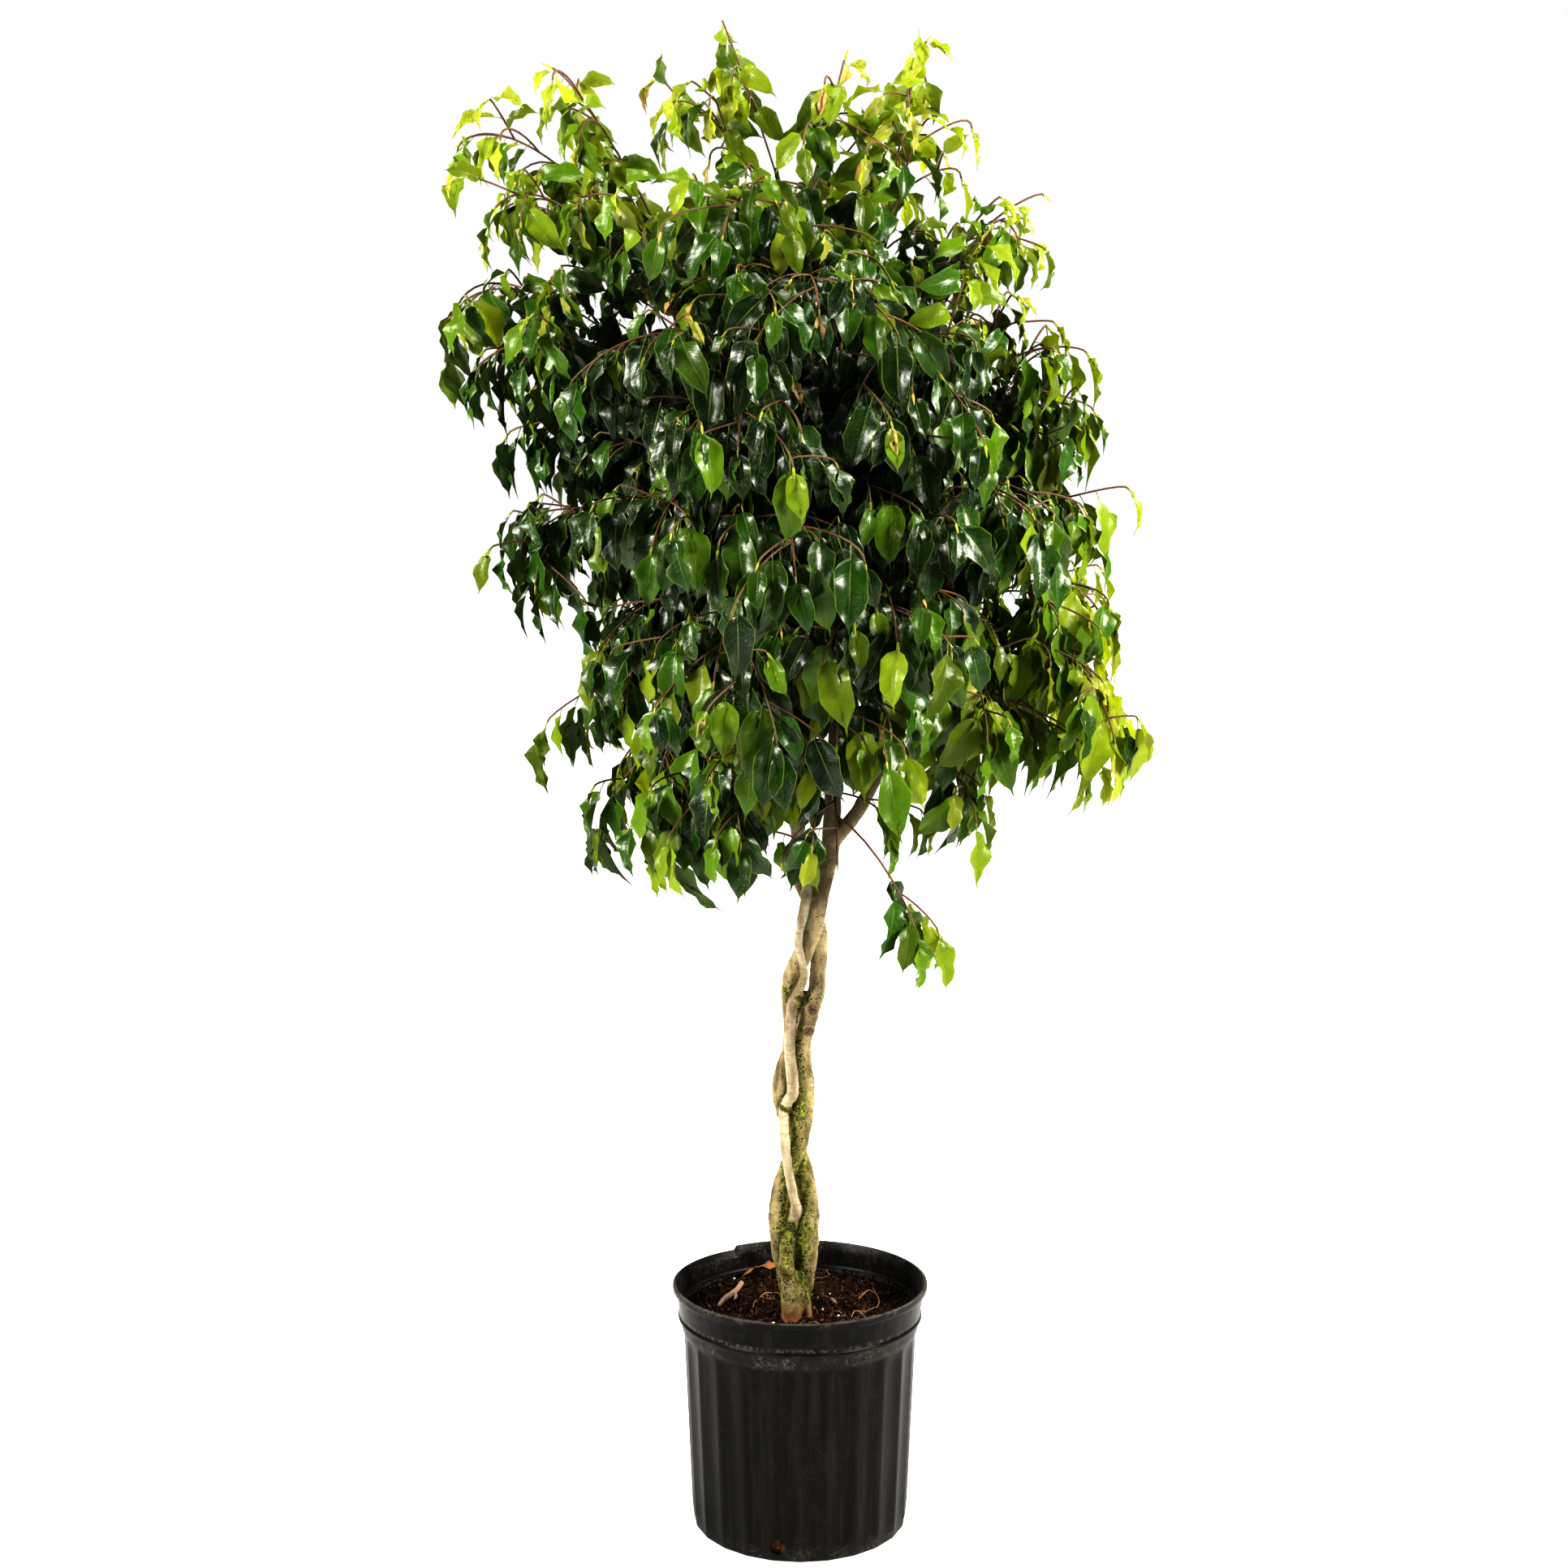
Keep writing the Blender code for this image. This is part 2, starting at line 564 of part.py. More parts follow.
def leaf_mesh_data(leaf, margin=0.0):
    """World points and triangles of one leaf, fattened by a margin."""
    place, blade, variant = leaf
    rings = leaf_rings(variant, blade, margin)
    points = [point for ring in rings for point in ring]
    root = Vector((0.0, -ROOT_DEPTH, 0.0))
    rise = UP * (ROOT_HALF + margin)
    points += [root + rise, root - rise, blade_point(variant, 1.0, 0.0) * (blade + margin)]
    return [place @ point for point in points], leaf_faces(len(rings))


def leaf_object(name, leaf, collection):
    """One leaf as a closed solid."""
    points, faces = leaf_mesh_data(leaf)
    mesh = bpy.data.meshes.new(name)
    mesh.from_pydata(points, [], faces)
    item = bpy.data.objects.new(name, mesh)
    collection.objects.link(item)
    return item


def shoot_stations(route, start, count, first_radius, last_radius):
    """Tube stations at even distances along a shoot, tapering to its end."""
    stations = []
    for number in range(count):
        share = number / (count - 1)
        point, _ = route.at(start + (route.length - start) * share)
        stations.append((point, first_radius + (last_radius - first_radius) * share))
    return stations


def axis_stations(axis):
    """Stations of a branch's axis, which starts square on the end of its stub."""
    seat, _ = axis.at(STUB_LENGTH)
    ahead = (seat - axis.points[0]).normalized()
    stations = shoot_stations(axis, STUB_LENGTH + 25 * MM, 4, STUB_RADIUS * 0.85, TIP_RADIUS)
    return [(seat + ahead * SEAT_GAP, STUB_RADIUS), (seat + ahead * 8 * MM, STUB_RADIUS)] + stations


def twig_stations(twig, axis):
    """Stations of a side twig, from the middle of its branch's axis."""
    stations = shoot_stations(twig, 0.0, 3, TWIG_RADIUS, TWIG_TIP_RADIUS)
    return [(nearest_on(stations[0][0], axis_stations(axis)), TWIG_RADIUS)] + stations[1:]


def nearest_on(point, stations):
    """The point of a tube's middle line that lies nearest to a point."""
    best = None
    for (first, _), (second, _) in zip(stations, stations[1:]):
        spot, share = intersect_point_line(point, first, second)
        spot = first.lerp(second, min(max(share, 0.0), 1.0))
        if best is None or (spot - point).length < (best - point).length:
            best = spot
    return best


def seat_leaf(leaf, stations):
    """A leaf moved so that its root lies in the middle of the shoot's solid."""
    place, blade, variant = leaf
    place = place.copy()
    place.translation = nearest_on(place.translation, stations)
    return place, blade, variant


def fatten(stations, radius):
    """The same stations with one radius, for finding what comes too close."""
    return [(point, radius) for point, _ in stations]


def stub_stations(number):
    """Stations of the bare stub that a branch sits on, from inside its leader."""
    leader, height, _, _ = BRANCHES[number]
    start, radius = leader_station(leader, height)
    seat, _ = branch_axis(number).at(STUB_LENGTH)
    return [(start, min(radius * 0.8, STUB_RADIUS * 1.2)), (seat, STUB_RADIUS)]


def build_stem(name, parts, finished):
    """One plant's stem with its leaders and stubs, hollowed where a neighbour presses on it."""
    rows, limbs, leaders = STEMS[name]
    stem = tube(name, stations_of(rows), 8, parts)
    grown = new_collection(f"{name}_limbs")
    for limb_number, limb in enumerate(limbs):
        tube(f"{name}_limb_{limb_number + 1}", stations_of(limb), 6, grown)
    for number, (leader, _, _, _) in enumerate(BRANCHES):
        if leader in leaders:
            tube(f"stub_{number + 1}", stub_stations(number), 4, grown)
    stem = combine(stem, grown, "UNION", parts)
    if finished:
        pressed = new_collection(f"{name}_hollows")
        for other in finished:
            braided = [row for row in STEMS[other][0] if row[2] * MM < BRAID_TOP]
            tube(f"{other}_hollow", stations_of(braided, SEAT_GAP), 8, pressed)
        stem = combine(stem, pressed, "DIFFERENCE", parts)
    paint(stem, (0.36, 0.30, 0.20), 0.8)
    return stem


def crosses(points, faces, trees):
    """Whether a mesh crosses any of the trees."""
    own = BVHTree.FromPolygons(points, faces)
    return any(own.overlap(tree) for tree in trees)


def choose_twigs(number, shoots, axis_trees, solid_trees, guides):
    """The branch's farthest side twigs that stay clear of every other branch, one to each side."""
    foot = shoots[0][0].points[0]
    others = [tree for index, tree in enumerate(axis_trees) if index != number] + solid_trees
    chosen = []
    order = sorted(range(1, len(shoots)), key=lambda index: -(shoots[index][0].points[-1] - foot).length)
    for index in order:
        if any((index - other) % 2 == 0 or abs(index - other) < 3 for other in chosen):
            continue
        trial = tube("trial", fatten(twig_stations(shoots[index][0], shoots[0][0]), 3.0), 4, guides)
        tree = search_tree(trial)
        bpy.data.objects.remove(trial, do_unlink=True)
        if any(tree.overlap(other) for other in others):
            continue
        chosen.append(index)
        others.append(tree)
        if len(chosen) == TWIGS_PER_BRANCH:
            break
    return chosen


def spread_leaves(grown, chosen_twigs, wood_trees, solid_trees):
    """Pick leaves one by one, each the farthest from all those picked, that stay clear of the rest."""
    candidates = []
    for number, shoots in enumerate(grown):
        axis = shoots[0][0]
        for shoot in [0] + chosen_twigs[number]:
            route, leaves = shoots[shoot]
            stations = twig_stations(route, axis) if shoot else axis_stations(axis)
            for index, leaf in enumerate(leaves):
                leaf = seat_leaf(leaf, stations)
                points, _ = leaf_mesh_data(leaf)
                candidates.append([number, leaf, points[-5], index == len(leaves) - 1])
    nearest = [1.0 if end else 0.1 for _, _, _, end in candidates]
    picked = {number: [] for number in range(len(grown))}
    picked_trees = []
    total = 0
    while total < LEAF_TOTAL:
        wanting = [i for i, c in enumerate(candidates) if len(picked[c[0]]) < LEAVES_AT_MOST and nearest[i] > 0]
        if not wanting:
            break
        best = max(wanting, key=lambda i: nearest[i] + (1.0 if len(picked[candidates[i][0]]) < LEAVES_AT_LEAST else 0))
        number, leaf, middle, _ = candidates[best]
        nearest[best] = -1.0
        points, faces = leaf_mesh_data(leaf, LEAF_CLEARANCE)
        other_wood = [tree for owner, tree in wood_trees if owner != number]
        if crosses(points, faces, other_wood + solid_trees + picked_trees):
            continue
        picked[number].append(leaf)
        picked_trees.append(BVHTree.FromPolygons(*leaf_mesh_data(leaf)))
        total += 1
        for index, candidate in enumerate(candidates):
            if nearest[index] > 0:
                nearest[index] = min(nearest[index], (candidate[2] - middle).length)
    return picked


def build_leafy_branches(parts, guides, solid_trees):
    """Every leafy branch: its axis, a few side twigs and leaves, fused in one solid."""
    grown = [grow_branch(number) for number in range(len(BRANCHES))]
    axis_trees = []
    for number, shoots in enumerate(grown):
        trial = tube("trial", fatten(axis_stations(shoots[0][0])[2:], 3.2), 4, guides)
        axis_trees.append(search_tree(trial))
        bpy.data.objects.remove(trial, do_unlink=True)
    chosen_twigs = []
    wood_trees = list(enumerate(axis_trees))
    for number, shoots in enumerate(grown):
        twig_trees = [tree for _, tree in wood_trees[len(BRANCHES):]]
        chosen = choose_twigs(number, shoots, axis_trees, solid_trees + twig_trees, guides)
        chosen_twigs.append(chosen)
        for index in chosen:
            trial = tube("trial", fatten(twig_stations(shoots[index][0], shoots[0][0]), 2.0), 4, guides)
            wood_trees.append((number, search_tree(trial)))
            bpy.data.objects.remove(trial, do_unlink=True)
    picked = spread_leaves(grown, chosen_twigs, wood_trees, solid_trees)
    for number, shoots in enumerate(grown):
        name = f"leafy_branch_{number + 1:02d}"
        branch = tube(name, axis_stations(shoots[0][0]), 4, parts)
        repeats = new_collection(f"{name}_repeats")
        for index in chosen_twigs[number]:
            tube(f"{name}_twig_{index}", twig_stations(shoots[index][0], shoots[0][0]), 4, repeats)
        for leaf_number, leaf in enumerate(picked[number]):
            leaf_object(f"{name}_leaf_{leaf_number}", leaf, repeats)
        branch = combine(branch, repeats, "UNION", parts, "MANIFOLD")
        paint(branch, (0.05, 0.16, 0.02), 0.4)


def settle(points, lowest):
    """Lift points so that the lowest lies at a height."""
    drop = lowest - min(point.z for point in points)
    return [point + UP * drop for point in points]


def build_fallen_bits(parts):
    """A dry leaf and a forked bit of twig that lie on the soil."""
    turn = Matrix.Rotation(FALLEN_LEAF_TURN, 4, "Z")
    place = Matrix.Translation((*FALLEN_LEAF_PLACE, 0.0)) @ turn
    points, faces = leaf_mesh_data((place, FALLEN_LEAF_LENGTH, 6))
    mesh = bpy.data.meshes.new("fallen_leaf")
    mesh.from_pydata(settle(points, SOIL_TOP + SEAT_GAP), [], faces)
    leaf = bpy.data.objects.new("fallen_leaf", mesh)
    parts.objects.link(leaf)
    paint(leaf, (0.30, 0.10, 0.025), 0.6)
    rest = SOIL_TOP / MM + SEAT_GAP / MM
    stations = [(Vector((x, y, rest + radius)) * MM, radius) for x, y, radius in FALLEN_TWIG]
    twig = tube("fallen_twig", stations, 6, parts)
    fork = new_collection("fallen_twig_fork")
    stations = [(Vector((x, y, rest + radius)) * MM, radius) for x, y, radius in FALLEN_TWIG_FORK]
    tube("fallen_twig_prong", stations, 6, fork)
    twig = combine(twig, fork, "UNION", parts)
    paint(twig, (0.55, 0.40, 0.28), 0.8)


def main():
    clear_scene()
    parts = new_collection("weeping_fig")
    cutters = new_collection("cutters")
    guides = new_collection("guides")
    finished = []
    solid_trees = []
    for name in STEMS:
        stem = build_stem(name, parts, finished)
        finished.append(name)
        solid_trees.append(search_tree(stem))
    build_leafy_branches(parts, guides, solid_trees)
    build_fallen_bits(parts)
    build_soil(parts, cutters)
    build_pot(parts, cutters)


main()
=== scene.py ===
"""Weeping fig with a braided trunk: its foliage, bark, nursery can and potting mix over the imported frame.

Metres, +Z up. The origin is the middle of the pot's base, and -Y is the front.
"""

import json
import math
import random

import bmesh
import bpy
import numpy as np
from mathutils import Matrix, Vector, noise
from mathutils.geometry import interpolate_bezier

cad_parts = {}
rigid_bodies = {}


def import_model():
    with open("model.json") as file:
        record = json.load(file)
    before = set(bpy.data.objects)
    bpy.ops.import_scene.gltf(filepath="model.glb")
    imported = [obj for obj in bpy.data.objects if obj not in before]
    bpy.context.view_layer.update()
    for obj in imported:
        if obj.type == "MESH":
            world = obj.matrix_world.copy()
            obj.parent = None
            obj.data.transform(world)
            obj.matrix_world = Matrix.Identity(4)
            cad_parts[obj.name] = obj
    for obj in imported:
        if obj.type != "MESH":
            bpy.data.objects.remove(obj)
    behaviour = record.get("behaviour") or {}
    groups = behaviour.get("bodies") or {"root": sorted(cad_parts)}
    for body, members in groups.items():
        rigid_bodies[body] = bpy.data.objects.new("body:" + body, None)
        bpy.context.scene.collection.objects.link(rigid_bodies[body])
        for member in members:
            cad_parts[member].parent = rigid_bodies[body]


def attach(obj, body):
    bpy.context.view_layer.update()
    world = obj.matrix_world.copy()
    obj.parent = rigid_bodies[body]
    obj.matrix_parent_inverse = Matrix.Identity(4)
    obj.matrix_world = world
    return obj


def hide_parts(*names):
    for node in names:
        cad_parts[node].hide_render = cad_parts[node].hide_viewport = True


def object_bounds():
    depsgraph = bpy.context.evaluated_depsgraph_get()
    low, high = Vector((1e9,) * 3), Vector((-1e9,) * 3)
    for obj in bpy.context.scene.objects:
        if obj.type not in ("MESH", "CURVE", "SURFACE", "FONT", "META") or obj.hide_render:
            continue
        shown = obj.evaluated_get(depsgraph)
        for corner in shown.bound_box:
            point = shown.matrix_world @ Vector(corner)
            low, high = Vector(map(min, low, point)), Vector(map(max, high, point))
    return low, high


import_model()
CAD_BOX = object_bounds()

MM = 0.001
UP = Vector((0.0, 0.0, 1.0))
WHITE = (1.0, 1.0, 1.0)

# Camera and room
CAMERA_PLACE = (-0.0162, -2.438, 1.108)
CAMERA_PITCH = math.radians(8)
CAMERA_LENS = 56.94
FLOOR_SIDE = 40.0
WARM_LIGHT = (1.0, 0.965, 0.90)
PICTURE_GAMMA = 0.68
LAMP_SIDE = 0.9
LAMP_AIM = Vector((0.0, 0.0, 0.95))
LAMPS = [
    ("left_box", (-2.2, -1.35, 1.8), 142), ("right_box", (2.2, -1.2, 1.9), 158),
    ("back_left", (-1.5, 1.6, 1.9), 36), ("back_right", (1.6, 1.4, 2.0), 84),
    ("top_box", (0.1, -0.2, 3.2), 42),
]

# Pot; its section as (radius, height) in millimetres, down the outside and up the inside
POT_HEIGHT = 254 * MM
BASE_RADIUS = 104 * MM
CAN_OUTSIDE = [
    (126.8, 254), (129.8, 253.4), (130, 247.6), (126.8, 246.4), (125.8, 244), (123, 222.5), (124.6, 220.6),
    (124.5, 218), (121.4, 216), (120.5, 207.5), (118.6, 203), (110.8, 20), (109.2, 2.2), (107.2, 0), (0, 0),
]
CAN_INSIDE = [
    (0, 2.5), (102.5, 2.5), (107.6, 9), (109, 20), (116.8, 203), (118.6, 207), (120.8, 222), (120.6, 227.5),
    (122, 229), (123, 245), (126.8, 254),
]
CAN_COLUMNS = 288
CAN_ROUND = 3.0 * MM
CAN_OUTSIDE_STEP = 9 * MM
CAN_INSIDE_STEP = 14 * MM
CAN_WARP = 0.25 * MM
CAN_SHARP = math.radians(38)
FLUTES = 24
FLUTE_DEPTH = 2.4 * MM
FLUTE_TOP = 203 * MM
FLUTE_FOOT = 20 * MM
FLUTE_FADE = 7 * MM
DRAIN_HOLES = 4
DRAIN_RADIUS = 8 * MM
DRAIN_SIDES = 28
DRAIN_CUT = 24 * MM
DRAIN_PLACE = (110.8 * MM, 15 * MM)
DRAIN_TURN = math.radians(-102)
LIP_DEPTH = 12 * MM
LIP_STEP_TURN = math.radians(122)
LIP_STEP_DROP = 4.2 * MM
LIP_STEP_REACH = math.radians(75)

# Potting mix
SOIL_TOP = 222 * MM
SOIL_RADIUS = 118 * MM
SOIL_SIDES = [(113.5, 201), (104.8, 24), (105.8, 9.5), (100.2, 2.8)]
SOIL_RINGS = 46
SOIL_COLUMNS = 132
SOIL_SEED = 5
SOIL_HEAP = 3.0 * MM
SOIL_HEAP_REACH = 50 * MM
SOIL_EDGE = 10 * MM

# Stems, as (x, y, z, radius) in millimetres, from the foot in the soil to the top
STEM_RIGHT = [
    (2, -6, 168, 8), (2, -7, 200, 8), (2, -9, 235, 8.5), (6, -13, 262, 9.2), (9, -16, 290, 9.5),
    (10, -17, 315, 9.5), (10, -16, 335, 9.5), (7, -11, 355, 9.4), (2, -3, 375, 9.3), (-4, 4, 395, 9.3),
    (-10, 5, 415, 9.3), (-16, 2, 435, 9.2), (-19, -4, 455, 9.2), (-16, -5, 475, 9.2), (-9, 2, 495, 9),
    (-8, 4, 515, 9), (-9, 1, 535, 9), (-10, -4, 555, 9.2), (-7, -8, 575, 9.4), (2, -12, 595, 9.6),
    (10, -16, 615, 9.8), (15, -17, 635, 9.8), (19, -14, 656, 9.6), (25, -8, 680, 9.5), (30, -2, 703, 9),
    (33, 12, 770, 8), (37, 20, 843, 7), (43, 24, 931, 6.2), (49, 24, 1027, 5.2), (58, 20, 1137, 4.3),
    (69, 18, 1230, 3.4), (81, 15, 1299, 2.6),
]
STEM_LEFT = [
    (-10, 0, 168, 8.3), (-10, -2, 200, 8.3), (-11, -5, 235, 8.5), (-15, -9, 262, 8.8), (-20, -13, 290, 8.8),
    (-23, -15, 315, 8.8), (-23, -15, 335, 8.8), (-19, -14, 355, 9), (-12, -13, 375, 9.2),
    (-3, -13, 395, 9.4), (1, -14, 415, 9.6), (4, -14, 435, 9.9), (5, -14, 455, 10.1), (3, -14, 475, 9.9),
    (1, -14, 495, 9.5), (4, -14, 515, 9), (10, -12, 535, 8.6), (16, -8, 555, 8.4), (18, -3, 575, 8.2),
    (19, 1, 595, 8.2), (19, 3, 615, 8), (14, 5, 635, 7.5), (5, 5, 656, 7.2), (-2, 2, 680, 7),
    (-1, -6, 754, 6.6), (8, -16, 851, 5.8), (3, -18, 931, 5.2), (-12, -12, 1000, 4.6), (-21, -6, 1090, 4),
    (-18, 0, 1214, 3.2), (-17, 0, 1314, 2.6), (-24, 0, 1362, 2.4),
]
STEM_FRONT = [
    (-9, -25, 168, 9.6), (-9, -26, 200, 10), (-9, -27, 225, 10.2), (-10, -28, 242, 9.8),
    (-11, -28, 262, 8.8), (-14, -27, 284, 7.4), (-14, -26, 302, 6.3), (-11, -22, 315, 5.8),
    (-5, -21, 327, 5.4), (-4, -26, 340, 5.3), (-8, -28, 358, 5.3), (-12, -28, 380, 5.3),
    (-15, -27, 402, 5.4), (-16, -25, 420, 5.4), (-17, -20, 434, 5.4), (-13, -19, 445, 5.8),
    (-8, -25, 456, 6.3), (-8, -29, 474, 6.6), (-10, -28, 495, 6.3), (-11, -26, 516, 6), (-9, -24, 538, 5.9),
    (-6, -20, 552, 5.5), (0, -18, 563, 5), (4, -22, 576, 4.6), (1, -27, 594, 4.3), (-2, -29, 610, 4.3),
    (0, -28, 627, 4.6), (4, -25, 647, 5.2), (6, -20, 668, 5.4), (2, -18, 692, 5.5), (-6, -28, 730, 5.2),
    (-18, -48, 790, 4.8), (-30, -68, 860, 4.4), (-36, -80, 940, 3.8), (-36, -84, 1020, 3.2),
    (-34, -80, 1092, 2.6),
]
LIMB_RIGHT = [
    (31, -2, 706, 7.2), (61, -10, 747, 6.6), (95, -20, 819, 5.8), (123, -20, 899, 4.8),
    (142, -10, 979, 3.8), (157, 0, 1060, 2.8),
]
LIMB_BACK = [
    (33, 14, 778, 5.4), (32, 50, 840, 4.8), (22, 85, 940, 4.2), (12, 100, 1050, 3.4), (8, 105, 1152, 2.6),
]
LIMB_LEFT = [
    (-1, -4, 735, 5.8), (-29, 30, 819, 5.3), (-57, 45, 915, 4.6), (-84, 45, 1027, 3.9),
    (-108, 35, 1137, 3.3), (-123, 30, 1230, 2.8), (-129, 20, 1293, 2.4),
]
LEADERS = {
    "inner": STEM_RIGHT, "centre": STEM_LEFT, "front": STEM_FRONT,
    "right": LIMB_RIGHT, "back": LIMB_BACK, "left": LIMB_LEFT,
}
STEMS = {
    "stem_front": (STEM_FRONT, []), "stem_right": (STEM_RIGHT, [LIMB_RIGHT, LIMB_BACK]),
    "stem_left": (STEM_LEFT, [LIMB_LEFT]),
}
STEM_STEP = 3.5
STEM_SIDES = 28
LIMB_SIDES = 16
LIMB_FLARE = 0.25
TRUNK_VOXEL = 1.55 * MM
GRAFT_FOOT = 170
GRAFT_TOP = 556
GRAFT_STEP = 6
GRAFT_BACK = 1.5
GRAFT_LAP = 3.5
GRAFT_THINNEST = 4.0
GRAFT_THICKEST = 9.5
STRAND_GRAFTS = (313, 438, 551)
STRAND_DIP = 9.0
STRAND_DIP_REACH = 7.5
STRAND_SLIM = 0.92
STRAND_SLIM_HEIGHTS = (290, 330)
GRAFT_KNOTS = [
    (-13, -19, 311, 7), (-14, -14, 438, 7.5), (-2, -15, 551, 6.5), (2, -17, 300, 6), (-1, -21, 264, 6.0),
    (0, -22, 249, 6.5), (0, -22, 234, 5.5), (-15.5, -33.5, 276, 4.6), (-19, -31, 279, 3.4),
    (-11, -34, 273, 3.4),
]
KNOT_STRETCH = 1.5
SIDE_ROOT = [(2, -14, 262, 3), (5, -19, 246, 4.2), (7.5, -22, 232, 4.8), (9, -24, 214, 5)]
FOOT_NUB = (-13, -29, 274, 8.6)
NUB_STRETCH = 0.7
CUT_SCARS = [((12, -20.5, 541), (0.35, -0.85, 0.25), 6.4), ((8, -23.5, 520), (0.1, -0.9, -0.35), 5.4)]
SCAR_SIDES = 20
SCAR_FACE = 6.8 * MM
SCAR_RINGS = ((1.25, -2.6), (1.2, 0.2), (1.0, 0.9), (0.8, 0.5), (0.4, -0.1))
BARK_RELIEF = 0.8
RING_RELIEF = 0.3
# Heights in millimetres where marks and painted crease shade on the bark begin or end, and the trunk's
# middle by height
EARTH_TOP = 243
PAINTED_SHADE_FOOT = 268
PAINTED_SHADE_TOP = 680
THICK_MOSS_TOP = 430
MOSS_TOP = 740
PALE_FOOT = 318
PALE_TOP = 780
BROWN_FOOT = 640
TRUNK_MIDDLE = ((200, 260, 320, 440, 560, 700), (-6, -6, -6, -6, -3, -2))

# Leafy branches: leader, height of the foot, outermost leaf tip (x, y, z), rise of the arch; millimetres
BRANCHES = [
    ("centre", 1352, (-126, 0, 1484), 8), ("centre", 1240, (82, -48, 1432), 0),
    ("inner", 1288, (165, 0, 1455), 30), ("inner", 1215, (148, -88, 1376), 40),
    ("left", 1282, (-285, 20, 1432), 25), ("left", 1235, (-370, -20, 1358), 65),
    ("left", 1185, (-318, -130, 1290), 70), ("left", 1120, (-378, 0, 1205), 70),
    ("left", 1070, (-290, -150, 1150), 75), ("left", 1010, (-290, 90, 1070), 75),
    ("left", 955, (-300, -45, 970), 80), ("left", 890, (-226, -15, 838), 90),
    ("left", 845, (-176, -85, 742), 75), ("front", 805, (-132, -130, 722), 60),
    ("front", 770, (-46, -185, 775), 40), ("inner", 1175, (256, 0, 1290), 35),
    ("right", 1050, (244, 52, 1220), 50), ("right", 1015, (284, -52, 1162), 65),
    ("right", 975, (312, 36, 1102), 70), ("right", 930, (314, -58, 1005), 75),
    ("right", 885, (345, 5, 902), 75), ("right", 845, (336, -70, 836), 75),
    ("right", 800, (256, -130, 800), 70), ("right", 765, (222, -56, 740), 30),
    ("inner", 745, (36, -150, 676), 50), ("centre", 1215, (-80, -268, 1255), 80),
    ("centre", 1130, (20, -305, 1190), 85), ("front", 1080, (-165, -268, 1150), 75),
    ("front", 1050, (-60, -338, 1072), 85), ("inner", 1100, (104, -285, 1118), 85),
    ("front", 995, (-155, -290, 985), 80), ("front", 955, (0, -345, 962), 85),
    ("right", 955, (190, -250, 1008), 80), ("front", 900, (-90, -290, 866), 75),
    ("inner", 905, (90, -320, 903), 85), ("inner", 835, (30, -270, 806), 75),
    ("centre", 1240, (0, 255, 1275), 80), ("back", 1142, (-42, 300, 1176), 75),
    ("left", 1095, (-192, 232, 1130), 80), ("back", 1035, (10, 330, 1026), 85),
    ("right", 1000, (208, 232, 1058), 75), ("left", 970, (-172, 260, 956), 80),
    ("back", 965, (114, 310, 914), 80), ("back", 890, (-20, 285, 815), 75),
    ("right", 870, (214, 180, 836), 70), ("left", 860, (-122, 185, 768), 60),
    ("centre", 1300, (-165, -40, 1392), 40), ("left", 1200, (-205, 90, 1275), 60),
]

# How every leafy branch grows
BRANCH_SEED = 400
STUB_LENGTH = 34 * MM
STUB_RADIUS = 2.2
TIP_RADIUS = 0.8
TWIG_RADIUS = 0.8
TWIG_TIP_RADIUS = 0.55
TWIG_SIDES = 6
FIRST_TWIG = 16 * MM
LAST_TWIG = 30 * MM
TWIG_STEP = 25 * MM
TWIG_LENGTH = 105 * MM
LEAF_STEP = 17 * MM
LEAF_OVERHANG = 46 * MM
LEAF_DROP = 26 * MM
BLADE_SHORTEST = 50 * MM
BLADE_LONGEST = 72 * MM
END_BLADE = 0.8
FOOT_FLARE = 1.3
FOOT_FLARE_LENGTH = 9 * MM

# The leaf, in shares of its blade's length
PETIOLE = 0.19
PETIOLE_RADIUS = 0.0085
PETIOLE_SIDES = 3
HALF_WIDTH = 0.225
DRIP_START = 0.80
BODY_END = 0.87
DRIP_WIDTH = 0.13
LEAF_BENDS = (10, 30, 52, 76)
LEAF_WAVES = ((0.030, 0.0), (0.044, 0.3), (0.036, 0.62), (0.050, 0.85))
LEAF_SHARES = (0.0, 0.07, 0.20, 0.35, 0.50, 0.64, 0.76, 0.86, 1.0)
LEAF_ACROSS = (-1.0, -0.5, 0.0, 0.5, 1.0)
LEAF_FOLD = 0.40
LEAF_SWELL = 0.14
LEAF_RIPPLE = 0.075
LEAF_TWIST = 0.5
LEAF_HANG = 0.55
WAVE_SCALE = 1.75
SHEET_HALF = 0.0035
LEAF_SHARP = math.radians(100)
BUD_VARIANT = len(LEAF_BENDS) * len(LEAF_WAVES)
BUD_LENGTH = 11 * MM
BUD_SIDES = 6
BUD_DROP = 0.12
YOUNG_VARIANTS = (BUD_VARIANT + 1, BUD_VARIANT + 2)
YOUNG_LENGTH = 30 * MM
YOUNG_NARROW = 0.62
TONE_SEED = 77

# Growth that only the scene has: short shoots between the twigs, and sprays inside the crown
SHORT_SEED = 900
SHORT_STEP = 30 * MM
SHORT_LENGTH = 52 * MM
TOP_SMALLER = 0.24
TOP_CUT = 12 * MM
TOP_ZONE = 20 * MM
SHORT_CLEAR = 14 * MM
